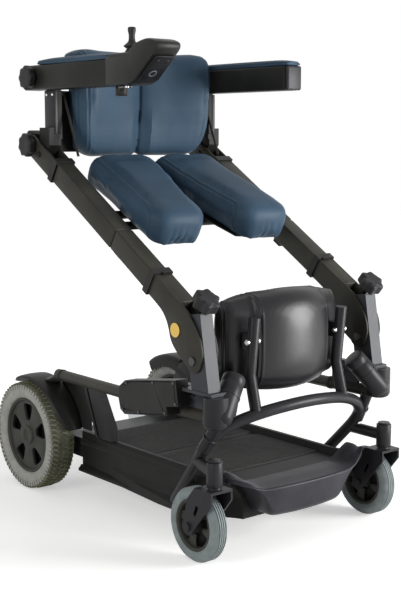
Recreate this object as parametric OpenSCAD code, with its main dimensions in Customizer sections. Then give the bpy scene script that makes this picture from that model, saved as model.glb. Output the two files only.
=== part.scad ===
// Standing wheelchair in its raised position: powered base, lift arms, split seat, back and armrests.
// Front is -Y, up is +Z, the user's right hand is -X. Sizes are in millimetres.

/* [Drive wheels] */
// Outside diameter of a drive tyre
drive_d = 304; // [302:1:308]
// Width of a drive tyre
drive_w = 72; // [70:1:74]
// Diameter of the rim under the tyre
drive_rim_d = 210; // [204:1:214]
// Middle of a drive tyre from the centre line
drive_x = 262; // [261:1:265]
// Drive axle behind the middle of the chair
drive_y = 456; // [454:1:460]
// Diameter of a drive shaft
shaft_d = 20; // [18:1:22]

/* [Casters] */
// Outside diameter of a caster tyre
caster_d = 178; // [174:1:180]
// Width of a caster tyre
caster_w = 42; // [38:1:44]
// Caster swivel axis from the centre line
caster_x = 284; // [283:1:287]
// Caster swivel axis ahead of the middle of the chair
caster_front = 360; // [358:1:362]
// Distance of the axle behind the swivel axis
caster_trail = 58; // [54:1:59]
// Diameter of a fork stem
stem_d = 20; // [18:1:22]
// Diameter of a caster axle
axle_d = 12; // [10:1:14]

/* [Deck] */
// Half width of the deck tray between its side faces
deck_half = 212; // [210:1:213]
// Height of the deck floor above the ground
floor_z = 165; // [162:1:167]
// Height of the sill above the floor
sill_h = 17; // [14:1:19]
// Thickness of a mat
mat_t = 3; // [2.5:0.5:3.5]

/* [Side frame] */
// Radius of a side rail
rail_r = 15; // [14:0.5:16]
// Side rail from the centre line
rail_x = 250; // [248:1:252]
// Height of the side rail
rail_z = 338; // [336:1:340]
// Radius of the hoop tube
hoop_r = 14; // [13:0.5:15]
// Radius of the lift gear housing
pot_r = 26; // [25:0.5:27]

/* [Lift] */
// Middle of a lift arm from the centre line
arm_x = 272; // [271:1:274]
// Width of a lift arm
arm_w = 50; // [49:0.5:52]
// Depth of a lift arm
arm_h = 55; // [54:0.5:57]
// Slope of the lift arms in the raised position
arm_slope = 31.3; // [31:0.1:31.6]
// Thickness of an arm side plate
plate_t = 6; // [5.5:0.5:6.5]
// Diameter of a lift pivot pin
pin_d = 20; // [18:1:22]

/* [Upholstery] */
// Length of a thigh cushion
seat_len = 370; // [366:1:372]
// Thickness of a thigh cushion
seat_t = 92; // [88:1:96]
// Half width of the back cushion
back_half = 230; // [226:1:231]
// Thickness of the back cushion at its crown
back_t = 104; // [100:1:106]
// Height of the back cushion
back_h = 296; // [290:1:300]
// Thickness of an armrest pad
pad_t = 14; // [12:1:16]

/* [Armrests] */
// Width of an armrest beam
beam_w = 52; // [50:1:54]
// Height of an armrest beam
beam_h = 65; // [63:1:66]
// Underside of the armrest beams above the ground
beam_z = 1105; // [1105:1:1110]

/* [Hidden] */
$fn = 64;
// Clearances
run_gap = 0.05;
slide_gap = 0.3;
side_gap = 1;
eps = 0.01;
big = 900;

// Drive axle and casters
drive_r = drive_d / 2;
wheel_in = drive_x - drive_w / 2;
crown_gap = 3;
crown_t = 6;
thrust_t = 5;
barrel_r = 19;
barrel_h = 58;
barrel_z = caster_d + crown_gap + crown_t + thrust_t;
caster_r = caster_d / 2;
caster_y = -caster_front;
fork_in = caster_w / 2 + 6;
leg_t = 5;

// Deck
deck_back = 300;
deck_nose = -300;
deck_low = 70;
sill_z = floor_z + sill_h;
sill_in = deck_half - 22;
sill_out = deck_half - 6;
lip = deck_half + 26;
bay_half = deck_half - 16;
bay_top = floor_z - 7;
bay_front = -224;
bay_back = 284;
cover_t = 4;
flank_low = 112;
swept = caster_trail + caster_r;

// Rail, posts and lift
wall_x = wheel_in - 20;
wall_t = 4;
pot_y = -349;
pot_low = 322;
rail_front = -338;
foot_z = 398;
foot_t = 8;
lift_y = -297.5;
lift_z = 474.5;
arm_v = 58;
arm_lo = arm_v - arm_h / 2;
arm_hi = arm_v + arm_h / 2;
arm_in = arm_x - arm_w / 2;
arm_out = arm_x + arm_w / 2;
tube_t = 4;
seam_u = 402;
seam_gap = 0.5;
collar_t = 4;
pin_r = pin_d / 2;
post_w = arm_w - 2 * plate_t - 2 * side_gap;
post_d = 60;
post_lean = 9.5;
post_front = -345;
post_len = 182;
knob_tilt = 40;
knob_up = 26;

// Back pivot on the arm, in arm lengths and in the chair frame
back_u = 793;
back_y = lift_y + back_u * cos(arm_slope) - arm_v * sin(arm_slope);
back_z = lift_z + back_u * sin(arm_slope) + arm_v * cos(arm_slope);
hinge_r = 8;
knob_u = 840;
knob_r = 32;
knob_t = 18;
knob_boss = 4;
knob_stud = 6;
up_front = 309;
up_back = 357;
up_w = post_w;
back_plane = 342;
stop_u = 84;
stop_v = -6;
stop_bar = 6;
stay_r = 3.5;
stay_x = arm_in - collar_t - stay_r - 1;
panel_half = stay_x - stay_r - 1;
up_top = beam_z - 2;
back_z0 = beam_z - 183;

// Seat
seat_slope = 24;
seat_y = -52;
seat_z = 709;
pan_t = 4;
cross_r = 11;
cross_drop = 14;
cross_y = [150, 210];
bracket_x = [60, 150];
bracket_w = 18;
rear_round = 28;
front_round = 44;

// Armrests and joystick
beam_x = 260;
beam_back = 440;
beam_out = beam_x + beam_w / 2;
pad_back = 376;
beam_knob_y = 400;
beam_front_r = 45;
beam_front_l = -28;
beam_t = 4;
neck_w = 20;
travel = 40;
stick_y = -20;
ring_r = 28;
trunnion_r = 2.5;
yoke_r = 2;
stick_z = beam_z + 76;
pod_w = 72;

// The middle of the whole length lies on the origin
nose_y = min(deck_nose - 89, caster_y + caster_trail - caster_r);
mid_y = (drive_y + drive_r + nose_y) / 2;

module place() {
    translate([0, -mid_y, 0]) children();
}

// Everything is drawn on the +X side; the right hand piece is its mirror image
module side(s) {
    if (s < 0) mirror([1, 0, 0]) children();
    else children();
}

module both() {
    side(1) children();
    side(-1) children();
}

module along_x(r, x0, x1) {
    translate([x0, 0, 0]) rotate([0, 90, 0]) cylinder(r = r, h = x1 - x0);
}

module box(a, b) {
    translate(a) cube(b - a);
}

// Plate standing in the YZ plane from x0 to x1
module yz_plate(x0, x1) {
    translate([x0, 0, 0]) rotate([90, 0, 90]) linear_extrude(x1 - x0) children();
}

// Section in the XZ plane drawn out from y0 to y1
module xz_bar(y0, y1) {
    translate([0, y1, 0]) rotate([90, 0, 0]) linear_extrude(y1 - y0) children();
}

module rod(a, b, r) {
    d = b - a;
    h = norm(d);
    translate(a) rotate([0, acos(d.z / h), atan2(d.y, d.x)]) cylinder(r = r, h = h);
}

// Frame with its origin on the lift pivot, Y up the arm and Z square to it
module arm_frame() {
    translate([0, lift_y, lift_z]) rotate([arm_slope, 0, 0]) children();
}

module seat_frame_axes() {
    translate([0, seat_y, seat_z]) rotate([seat_slope, 0, 0]) children();
}

module post_axes() {
    translate([arm_x, post_front, foot_z + foot_t]) rotate([-post_lean, 0, 0]) children();
}

module box_axes() {
    translate([0, -130, 362]) rotate([-9, 0, 0]) children();
}

// Closed skin over a stack of rings with equal point counts
module skin(rings) {
    n = len(rings[0]);
    m = len(rings);
    quads = [for (i = [0 : m - 2]) for (j = [0 : n - 1])
        [i * n + j, (i + 1) * n + j, (i + 1) * n + (j + 1) % n, i * n + (j + 1) % n]];
    tris = [for (q = quads) each [[q[0], q[1], q[2]], [q[0], q[2], q[3]]]];
    first = [for (j = [0 : n - 1]) j];
    last = [for (j = [n - 1 : -1 : 0]) (m - 1) * n + j];
    polyhedron(points = [for (r = rings) each r], faces = concat(tris, [first, last]), convexity = 4);
}

function spow(v, p) = sign(v) * pow(abs(v), p);
function dome(t, p) = pow(max(0, 1 - pow(abs(t), p)), 1 / p);
// Outline of both halves from the +X half that starts and ends on the centre line
function twin(p) = concat(p, [for (i = [len(p) - 2 : -1 : 1]) [-p[i][0], p[i][1]]]);
function smooth(a, b, t) = let (k = max(0, min(1, (t - a) / (b - a)))) k * k * (3 - 2 * k);

// Profile of the lower part of the deck side, +X half
function deck_profile() = [[0, floor_z], [sill_in, floor_z], [sill_in + 5, sill_z], [sill_out, sill_z],
    [deck_half, sill_z - 9], [deck_half, flank_low], [deck_half + 8, flank_low - 14],
    [lip, deck_low + 14], [lip, deck_low + 5], [lip - 8, deck_low], [0, deck_low]];

module deck_outline() {
    polygon(twin(deck_profile()));
}

// Space a turning caster needs
module caster_sweep(gap) {
    w = swept + gap;
    both() translate([caster_x, caster_y, 0]) rotate_extrude($fn = 96)
        polygon([[0, -1], [w, -1], [w, caster_r + 28], [w - 10, caster_r + 48], [w - 28, caster_r + 68],
            [w - 52, caster_r + 84], [caster_trail + gap, caster_d + 2], [0, caster_d + 2]]);
}

// Deck and nose
module deck_plan(h) linear_extrude(h) polygon([[-lip, deck_nose], [lip, deck_nose], [lip, -180], [deck_half, 163],
    [deck_half - 6, deck_back], [-deck_half + 6, deck_back], [-deck_half, 163], [-lip, -180]]);

module deck_body() intersection() {
    xz_bar(deck_nose, deck_back) deck_outline();
    deck_plan(big);
}

module deck_tray() color("#3c3c3a") difference() {
    deck_body();
    box([-bay_half, bay_front, deck_low - 1], [bay_half, bay_back, bay_top]);
    caster_sweep(5);
}

module deck_cover() color("#2e2e2c")
    box([-bay_half, bay_front, deck_low], [bay_half, bay_back, deck_low + cover_t]);

module mat(y0, y1) {
    half = sill_in - 6;
    pitch = 24;
    ribs = floor(half / pitch);
    box([-half, y0, floor_z], [half, y1, floor_z + mat_t - 1]);
    for (i = [-ribs : ribs])
        box([i * pitch - 8, y0 + 3, floor_z + mat_t - 1 - eps], [i * pitch + 8, y1 - 3, floor_z + mat_t]);
}

module deck_mats() color("#474746") {
    mat(-222, 12);
    mat(34, 288);
}

function nose_profile() = [[0, floor_z], [122, floor_z], [150, floor_z + 5], [184, floor_z + 26], [206, floor_z + 38],
        [222, floor_z + 36], [228, floor_z + 28], [206, floor_z + 24], [180, floor_z + 11],
        [150, floor_z - 10], [128, floor_z - 40], [122, deck_low + 10], [0, deck_low + 10]];

module nose_bumper() color("#44454d") difference() {
    intersection() {
        xz_bar(deck_nose - 92, deck_nose) polygon(twin(nose_profile()));
        linear_extrude(floor_z + 60)
            polygon([[-228, deck_nose], [-228, deck_nose - 40], [-196, deck_nose - 62], [-166, deck_nose - 74],
                [-110, deck_nose - 84], [-40, deck_nose - 89], [40, deck_nose - 89], [110, deck_nose - 84],
                [166, deck_nose - 74], [196, deck_nose - 62], [228, deck_nose - 40], [228, deck_nose]]);
    }
    caster_sweep(3);
    translate([-big / 2, deck_nose - 50, floor_z]) rotate([11, 0, 0]) translate([0, -100, 0]) cube([big, 100, 90]);
}

module axle_housing() color("#333331") difference() {
    box([-wall_x + 4, deck_back, 104], [wall_x - 4, drive_y - 10, 158]);
    box([-wall_x + 9, deck_back + 5, 109], [wall_x - 9, drive_y - 60, 153]);
    translate([0, drive_y, drive_r]) along_x(44, -big, big);
}

battery_front = -200;
battery_back = 60;
battery_h = 74;

module battery_packs() color("#222222") both()
    box([8, battery_front, deck_low + cover_t], [bay_half - 8, battery_back, deck_low + cover_t + battery_h]);

// Wheels and drive
module gearmotors() color("#8c8f92") both() translate([0, drive_y, drive_r]) difference() {
    union() {
        along_x(44, 92, wall_x - 8);
        along_x(30, wall_x - 8 - eps, wall_x + wall_t + 6);
    }
    along_x(shaft_d / 2 + run_gap, 150, big);
}

module drive_tyre(s) color("#9b9b97") side(s) translate([drive_x, drive_y, drive_r]) rotate([0, 90, 0])
    rotate_extrude($fn = 96) polygon([[drive_rim_d / 2, -drive_w / 2 + 8], [drive_rim_d / 2 + 12, -drive_w / 2],
        [drive_r - 20, -drive_w / 2], [drive_r - 6, -drive_w / 2 + 5], [drive_r, -drive_w / 2 + 16],
        [drive_r, drive_w / 2 - 16], [drive_r - 6, drive_w / 2 - 5], [drive_r - 20, drive_w / 2],
        [drive_rim_d / 2 + 12, drive_w / 2], [drive_rim_d / 2, drive_w / 2 - 8]]);

module drive_rim(s) {
    r = drive_rim_d / 2;
    face = drive_w / 2 - 9;
    color("#33332f") side(s) translate([drive_x, drive_y, drive_r]) difference() {
        union() {
            difference() {
                along_x(r, -drive_w / 2 + 8, drive_w / 2 - 8);
                along_x(r - 9, -drive_w / 2, face - 14);
                along_x(r - 9, face - 4, drive_w);
            }
            along_x(30, -drive_w / 2 + 2, face);
            along_x(26, face - eps, face + 5);
            along_x(shaft_d / 2, -drive_x + 156, 0);
        }
        for (i = [0 : 4]) rotate([72 * i + 18, 0, 0]) yz_plate(-drive_w, drive_w)
            polygon([[44, -13], [r - 20, -25], [r - 13, 0], [r - 20, 25], [44, 13]]);
    }
}

module fender(s) {
    r0 = drive_r + 7;
    r1 = drive_r + 19;
    skirt_z = sill_z + 7;
    color("#2b2b2c") side(s) difference() {
        union() {
            translate([0, drive_y, drive_r]) difference() {
                union() {
                    along_x(r1, wall_x, drive_x - 10);
                    along_x(r1 - 5, drive_x - 10 - eps, drive_x + 2);
                }
                rotate([58, 0, 0]) box([0, 0, -big], [big, big, 0]);
            }
            yz_plate(wall_x, wall_x + wall_t) polygon([[drive_y - 206, skirt_z], [drive_y - 206, rail_z - 42],
                [drive_y - 134, rail_z - 8], [drive_y - 60, rail_z - 20], [drive_y, drive_r + 60],
                [drive_y, skirt_z]]);
            yz_plate(wall_x, rail_x + rail_r) polygon([[drive_y - 134, rail_z - 22], [drive_y - 134, rail_z + 4],
                [drive_y - 76, rail_z - 3], [drive_y - 30, drive_r + 168], [drive_y - 6, drive_r + 160],
                [drive_y - 56, drive_r + 158], [drive_y - 106, drive_r + 130]]);
        }
        translate([rail_x, drive_y - 135, rail_z]) rotate([-90, 0, 0]) cylinder(r = rail_r, h = 26);
        translate([0, drive_y, drive_r]) along_x(30, 0, big);
        translate([0, drive_y, drive_r]) along_x(r0, wall_x + wall_t, big);
        box([0, 0, -big], [big, big, skirt_z]);
    }
}

module caster_tyre(s) color("#8b9393") side(s) translate([caster_x, caster_y + caster_trail, caster_r])
    rotate([0, 90, 0]) rotate_extrude($fn = 96) polygon([[caster_r - 27, -caster_w / 2 + 3],
        [caster_r - 20, -caster_w / 2], [caster_r - 8, -caster_w / 2 + 1], [caster_r - 1, -caster_w / 2 + 9],
        [caster_r, -8], [caster_r - 2, -7], [caster_r - 2, -5], [caster_r, -4], [caster_r, 4],
        [caster_r - 2, 5], [caster_r - 2, 7], [caster_r, 8], [caster_r - 1, caster_w / 2 - 9],
        [caster_r - 8, caster_w / 2 - 1], [caster_r - 20, caster_w / 2], [caster_r - 27, caster_w / 2 - 3]]);

module caster_rim(s) color("#2c2c2a") side(s) translate([caster_x, caster_y + caster_trail, caster_r]) difference() {
    union() {
        difference() {
            along_x(caster_r - 27, -caster_w / 2 + 3, caster_w / 2 - 3);
            along_x(caster_r - 33, 6, caster_w);
            along_x(caster_r - 33, -caster_w, -6);
        }
        along_x(18, -fork_in + slide_gap, fork_in - slide_gap);
    }
    along_x(axle_d / 2 + run_gap, -big, big);
    for (i = [0 : 5]) rotate([60 * i, 0, 0]) yz_plate(-10, 10)
        polygon([[24, -6], [caster_r - 38, -14], [caster_r - 36, 0], [caster_r - 38, 14], [24, 6]]);
}

module fork_leg() {
    top = caster_d + crown_gap + crown_t;
    difference() {
        union() {
            translate([caster_trail, caster_r]) circle(r = 21);
            polygon([[-26, top], [-26, top - 26], [caster_trail - 20, caster_r - 6], [caster_trail + 20, caster_r + 6],
                [caster_trail + 2, top - 30], [34, top]]);
        }
        translate([26, caster_r + 52]) circle(r = 5);
        translate([33, caster_r + 36]) circle(r = 5);
        polygon([[21.5, caster_r + 50], [30.5, caster_r + 54], [37.5, caster_r + 38], [28.5, caster_r + 34]]);
    }
}

module caster_fork(s) {
    top = caster_d + crown_gap + crown_t;
    color("#2f2f2d") side(s) translate([caster_x, caster_y, 0]) {
        box([-fork_in - leg_t, -26, top - crown_t], [fork_in + leg_t, 34, top]);
        for (x = [-fork_in - leg_t, fork_in]) yz_plate(x, x + leg_t) fork_leg();
        translate([0, 0, top - eps]) cylinder(r = stem_d / 2 + 5, h = thrust_t - slide_gap);
        translate([0, 0, top - eps]) cylinder(r = stem_d / 2, h = barrel_h + thrust_t + 3);
        translate([0, 0, barrel_z + barrel_h + slide_gap]) cylinder(r = barrel_r - 4, h = 5);
        translate([0, caster_trail, caster_r]) along_x(axle_d / 2, -fork_in - leg_t - 6, fork_in + leg_t + 6);
        for (x = [-fork_in - leg_t - 6, fork_in + leg_t - eps])
            translate([0, caster_trail, caster_r]) along_x(axle_d / 2 + 4, x, x + 6);
    }
}

// Front frame: hoop, legs and caster brackets
stub_a = [245, -337, 334];
leg_a = [263.5, -286, 253];
leg_b = [226, -134, 88];
bow_end = [196, -330, 323];
bow_drop = [257, -304, 281];
bow_mid = [0, -366, 352];
bow_rise = norm([bow_end.y - bow_mid.y, bow_end.z - bow_mid.z]);
bow_r = (bow_end.x * bow_end.x + bow_rise * bow_rise) / (2 * bow_rise);
bow_tilt = atan2(bow_mid.z - bow_end.z, bow_end.y - bow_mid.y);
bow_half = asin(bow_end.x / bow_r);

module bow(r) {
    translate(bow_mid) rotate([-bow_tilt, 0, 0]) translate([0, bow_r, 0])
        rotate([0, 0, -90 - bow_half]) rotate_extrude(angle = 2 * bow_half, $fn = 180)
            translate([bow_r, 0]) circle(r = r, $fn = 40);
}

module ring_on(a, b, at, r, h) {
    d = b - a;
    translate(a + at * d) rotate([0, acos(d.z / norm(d)), atan2(d.y, d.x)]) cylinder(r = r, h = h);
}

module legs() {
    rod(stub_a, leg_a, hoop_r + 1);
    translate(leg_a) sphere(r = hoop_r + 1.4);
    rod(leg_a, leg_b, hoop_r + 1);
}

module front_hoop() color("#2d2d30") difference() {
    union() {
        bow(hoop_r);
        both() {
            legs();
            translate(bow_end) sphere(r = hoop_r + 0.5);
            rod(bow_end, bow_drop, hoop_r);
            ring_on(stub_a, leg_a, 0.8, hoop_r + 3, 6);
        }
    }
    deck_body();
}

module caster_brackets() color("#2d2d30") both() difference() {
    union() {
        translate([caster_x, caster_y, barrel_z]) cylinder(r = barrel_r, h = barrel_h);
        rod([caster_x, caster_y, barrel_z + barrel_h / 2], leg_a + 0.14 * (leg_b - leg_a), 14.5);
    }
    rod(leg_a, leg_b, hoop_r + 1);
    translate(leg_a) sphere(r = hoop_r + 1.4);
    rod(stub_a, leg_a, hoop_r + 1);
    translate([caster_x, caster_y, 0]) cylinder(r = stem_d / 2 + run_gap, h = big);
}

// Knee pad on two bent uprights
knee_x = 144;
knee_low = [knee_x, bow_mid.y + 21, 340];
knee_bend = [knee_x, -322, 428];
knee_top = [knee_x, -337, 566];
knee_flat = -307;
knee_nose = -349;
knee_half = 200;
knee_panel = 112;
knee_rear = -223;
knee_tall = 127;
knee_arch = 26;
stud_r = 4;
stud_len = 18;
knee_z = 508;
knee_mid = 497;

module knee_pad_uprights() color("#2d2d30") both() difference() {
    union() {
        rod(knee_low, knee_bend, hoop_r);
        translate(knee_bend) sphere(r = hoop_r + 0.4);
        rod(knee_bend, knee_top, hoop_r);
        box([knee_x - 13, -330, knee_z - 18], [knee_x + 13, knee_flat, knee_z + 18]);
        translate([knee_x, knee_flat - 4, knee_z]) rotate([-90, 0, 0]) cylinder(r = stud_r, h = stud_len + 3);
    }
    bow(hoop_r);
    translate([0, -331, knee_z]) along_x(4, 0, big);
}

knee_bulge = 11;
knee_seam = 7;
knee_turn = 34;
function knee_step(x) = knee_nose + knee_bulge + (knee_flat - knee_nose - knee_bulge) * (abs(x) - knee_panel) / knee_seam;
function knee_front(x) = abs(x) <= knee_panel ? knee_nose + knee_bulge * pow(x / knee_panel, 2)
    : abs(x) < knee_panel + knee_seam ? knee_step(x)
    : abs(x) <= knee_half - knee_turn ? knee_flat
    : knee_flat + 44 * pow((abs(x) - knee_half + knee_turn) / knee_turn, 2);

// Studs that hold the knee pad on its uprights
module knee_stud(r, y) {
    both() translate([knee_x, y, knee_z]) rotate([-90, 0, 0]) cylinder(r = r, h = knee_flat + stud_len - y);
}

// Upright section of the knee pad with rounded edges
module knee_section() {
    r = 30;
    low = knee_mid - knee_tall;
    high = knee_mid + knee_tall;
    deep = knee_rear - knee_nose;
    translate([knee_nose, low + r]) square([deep, high - low - 2 * r]);
    translate([knee_nose + r, low]) square([deep - 2 * r, high - low]);
    for (y = [knee_nose + r, knee_rear - r], z = [low + r, high - r]) translate([y, z]) circle(r = r);
}

module knee_pad() color("#1c1c1e") difference() {
    ends = [for (k = [0, 5, 13, 23, knee_turn]) -knee_half + k];
    middle = [for (k = [0.77, 0.46, 0.15]) -knee_panel * k];
    xs = concat(ends, [-knee_panel - knee_seam, -knee_panel], middle);
    stations = concat(xs, [for (i = [len(xs) - 1 : -1 : 0]) -xs[i]]);
    crown = (pow(knee_half, 2) + pow(knee_arch, 2)) / (2 * knee_arch);
    intersection() {
        linear_extrude(big) polygon(concat([for (x = stations) [x, knee_front(x)]],
            [for (x = stations) [-x, knee_rear - 16 * smooth(150, knee_half, abs(x)) - 5 * pow(x / knee_half, 2)]]));
        translate([0, 0, knee_mid + knee_tall - crown]) rotate([90, 0, 0]) cylinder(r = crown, h = big);
        translate([0, 0, knee_mid - knee_tall + crown]) rotate([90, 0, 0]) cylinder(r = crown, h = big);
        yz_plate(-big, big) knee_section();
    }
    knee_stud(stud_r + run_gap, knee_flat - 1);
}

// Side rails and rear uprights
module side_rails() color("#33332f") both() difference() {
    union() {
        translate([rail_x, rail_front, rail_z]) rotate([-90, 0, 0]) cylinder(r = rail_r, h = drive_y - 109 - rail_front);
        translate([rail_x, -206, rail_z]) rotate([-90, 0, 0]) cylinder(r = rail_r + 2, h = 8);
    }
    translate([arm_x, pot_y, 0]) cylinder(r = pot_r, h = big);
    rod(stub_a, leg_a, hoop_r + 1 + slide_gap);
    rod(motor_a, motor_b, motor_r + slide_gap);
}

module rear_uprights() color("#3d3e44") both() difference() {
    intersection() {
        xz_bar(80, 240) polygon([[sill_in + 6, sill_z], [deck_half + 4, sill_z], [deck_half + 8, sill_z + 6],
            [rail_x + 6, rail_z - 6], [rail_x - 14, rail_z - 6], [sill_in + 6, sill_z + 36]]);
        yz_plate(150, 300) {
            polygon([[146, sill_z], [198, sill_z], [198, rail_z], [146, rail_z]]);
            polygon([[206, sill_z], [216, sill_z], [216, rail_z], [206, rail_z]]);
        }
    }
    translate([rail_x, -big, rail_z]) rotate([-90, 0, 0]) cylinder(r = rail_r, h = 2 * big);
}

// Control box on the right rail
box_in = rail_x + rail_r + 3;
box_mid = box_in + 28;
box_out = box_mid + 8;

module box_face() {
    polygon([[-120, 42], [86, 42], [112, 28], [120, 0], [116, -30], [100, -42], [-74, -42], [-74, -20], [-120, -20]]);
}

module control_box() color("#2a2a28") side(-1) difference() {
    union() {
        box_axes() yz_plate(box_in, box_mid) box_face();
        for (y = [-150, -20]) translate([0, y, rail_z]) along_x(9, rail_x, box_in + 2);
    }
    box_axes() box([box_in + 3, -112, -14], [box_mid + 1, 84, 34]);
    translate([rail_x, -big, rail_z]) rotate([-90, 0, 0]) cylinder(r = rail_r, h = 2 * big);
    for (p = screw_spots) box_axes() translate([0, p[0], p[1]]) along_x(2.5, box_mid - 12, big);
}

screw_spots = [[-110, 36], [-30, 36], [80, 36], [-110, -14], [-66, -36], [40, -36], [106, -30]];

module control_box_cover() color("#30302d") side(-1) difference() {
    box_axes() yz_plate(box_mid, box_out) box_face();
    for (p = screw_spots) box_axes() translate([0, p[0], p[1]]) along_x(2.5, 0, big);
}

module box_screws() color("#161616") side(-1) for (p = screw_spots) box_axes() translate([0, p[0], p[1]]) {
    along_x(2.5, box_mid - 12, box_out);
    along_x(4, box_out - eps, box_out + 1.6);
}

// Posts with their foot plates
module lift_post(s) color("#4b4a44") side(s) difference() {
    union() {
        difference() {
            post_axes() box([-post_w / 2, 0, -20], [post_w / 2, post_d, post_len]);
            post_axes() box([-post_w / 2 + 3, 3, -30], [post_w / 2 - 3, post_d - 3, post_len - 4]);
            box([0, -big, -big], [big, big, foot_z + foot_t - eps]);
        }
        translate([0, lift_y, lift_z]) along_x(pin_r + 6, arm_x - post_w / 2, arm_x + post_w / 2);
        difference() {
            union() {
                box([arm_x - 28, -358, foot_z], [arm_x + 20, -250, foot_z + foot_t]);
                box([arm_x - 28, -251, foot_z], [rail_x + 14, -206, foot_z + foot_t]);
            }
            rod(motor_a, motor_b, motor_r + 2.5);
        }
        box([rail_x - 5, -300, rail_z], [rail_x + 5, -210, foot_z + eps]);
    }
    translate([0, lift_y, lift_z]) along_x(pin_r, 0, big);
    translate([rail_x, -big, rail_z]) rotate([-90, 0, 0]) cylinder(r = rail_r, h = 2 * big);
    knob_axes() translate([0, 0, -80]) cylinder(r = 5 + run_gap, h = 80);
    for (y = [-226, -250]) translate([0, y, 378]) along_x(4, 0, rail_x + 40);
}

// Axis of a star knob at the front edge of the post top
module knob_axes() {
    post_axes() translate([0, 0, post_len]) rotate([post_lean, 0, 0]) translate([0, 0, knob_up])
        rotate([knob_tilt, 0, 0]) children();
}

motor_a = [arm_x - 10, pot_y - 8, 352];
motor_b = [196, -328, 432];
motor_r = 24;

// Gear housing under the foot plate with its leaning motor
module lift_gearmotors() color("#3a3a3c") both() difference() {
    union() {
        translate([arm_x, pot_y, pot_low + 12]) cylinder(r = pot_r, h = foot_z - pot_low - 12);
        translate([arm_x, pot_y, pot_low]) rotate_extrude() {
            square([pot_r - 12, 13]);
            translate([pot_r - 12, 12]) intersection() {
                circle(r = 12);
                translate([-1, -12]) square([14, 13]);
            }
        }
        difference() {
            union() {
                rod(motor_a, motor_b, motor_r);
                ring_on(motor_a, motor_b, 0.55, motor_r + 1.2, 4);
            }
            translate([arm_x, pot_y, foot_z]) cylinder(r = pot_r + 20, h = foot_t + 1);
        }
    }
    rod(stub_a, leg_a, hoop_r + 1);
}

module lift_pivot_pins() color("#8e8f90") both() translate([0, lift_y, lift_z])
    along_x(pin_r, arm_in - 5, arm_out + 5);

// Lift arms with goosenecks
module gooseneck() {
    circle(r = 28);
    polygon([[16, -24], [44, -22], [74, -18], [94, -9], [111, 8], [128, 20], [150, arm_lo - 2], [180, arm_lo],
        [236, arm_lo], [236, arm_hi], [110, arm_hi], [75, arm_hi - 2], [52, arm_hi - 7], [29, 70], [5, 56],
        [-19, 33], [-26, 10]]);
}

module lift_arm(s) color("#4b4a44") side(s) arm_frame() difference() {
    union() {
        for (x = [arm_in, arm_out - plate_t]) yz_plate(x, x + plate_t) gooseneck();
        box([arm_in, 100, arm_lo], [arm_out, seam_u, arm_hi]);
        translate([0, stop_u, stop_v]) along_x(stop_bar, arm_in, arm_out);
    }
    box([arm_in + tube_t, 106, arm_lo + tube_t], [arm_out - tube_t, seam_u + 1, arm_hi - tube_t]);
    along_x(pin_r + run_gap, 0, big);
}

module collar(u0, u1, x0, x1) {
    difference() {
        box([x0 - collar_t, u0, arm_lo - collar_t], [x1 + collar_t, u1, arm_hi + collar_t]);
        box([x0, u0 - 1, arm_lo], [x1, u1 + 1, arm_hi]);
    }
}

module arm_collars() color("#191919") both() arm_frame() {
    collar(218, 238, arm_in, arm_out);
    box([arm_in + 8, 214, arm_hi], [arm_in + 30, 219, arm_hi + 8]);
    box([arm_in + 8, 372, arm_lo - 12], [arm_in + 34, 400, arm_lo]);
}

module brass_caps() color("#c9a95a") both() arm_frame() translate([0, 88, 22])
    along_x(17, arm_out, arm_out + 2.5);

module rubber_stops() color("#161616") both() arm_frame() difference() {
    translate([arm_x, stop_u, stop_v]) rotate([130, 0, 0]) cylinder(r = 8, h = 34);
    translate([0, stop_u, stop_v]) along_x(stop_bar, arm_in, arm_out);
}

// Upper arms slide in the lift arms and carry seat and back
module upper_arm(s) color("#4b4a44") side(s) arm_frame() difference() {
    union() {
        box([arm_in, seam_u + seam_gap, arm_lo], [arm_out, 727, arm_hi]);
        box([arm_in + tube_t + slide_gap, 282, arm_lo + tube_t + slide_gap],
            [arm_out - tube_t - slide_gap, 470, arm_hi - tube_t - slide_gap]);
        for (x = [arm_in, arm_out - plate_t]) box([x, 700, arm_lo], [x + plate_t, 862, arm_hi]);
        box([arm_in, 850, arm_lo], [arm_out, 878, arm_hi - 2]);
    }
    box([arm_in + tube_t, 470, arm_lo + tube_t], [arm_out - tube_t, 716, arm_hi - tube_t]);
    box([arm_in + 9, 270, arm_lo + 9], [arm_out - 9, 460, arm_hi - 9]);
    translate([0, back_u, arm_v]) along_x(hinge_r + run_gap, 0, big);
    translate([0, knob_u, arm_v]) along_x(knob_stud + run_gap, arm_x, big);
}

module rear_collars() color("#191919") both() arm_frame() collar(704, 724, arm_in, arm_out);

module seat_frame() color("#2f2f2d") {
    both() seat_frame_axes() {
        linear_extrude(pan_t) polygon([[20, seat_len - 24], [24, 190], [70, 34], [150, 24], [182, 60],
            [182, seat_len - 24]]);
        for (x = bracket_x, y = cross_y) box([x, y - 8, -cross_drop], [x + bracket_w, y + 8, eps]);
    }
    seat_frame_axes() for (y = cross_y) translate([0, y, -cross_drop]) along_x(cross_r, -arm_in, arm_in);
}

function seat_ring(y) = let (t = 1 - y / seat_len, n = 26,
    endf = dome(max(0, 1 - (seat_len - y) / rear_round), 2.4) * dome(max(0, 1 - y / front_round), 2.4),
    xi = 7 + 48 * smooth(0.1, 1, t) + 22 * pow(max(0, (t - 0.88) / 0.12), 2),
    xo = 212 + 16 * smooth(0.2, 0.8, t) - 30 * pow(max(0, (t - 0.88) / 0.12), 2),
    xm = (xi + xo) / 2, hw = (xo - xi) / 2 * (0.6 + 0.4 * endf),
    h = seat_t * (0.5 + 0.5 * endf))
    [for (i = [0 : n - 1]) let (a = -360 * i / n, c = cos(a), d = sin(a))
        [xm + hw * spow(c, 0.55), y, pan_t + max(0, h * (0.42 + 0.58 * spow(d, 0.6)))]];

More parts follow.
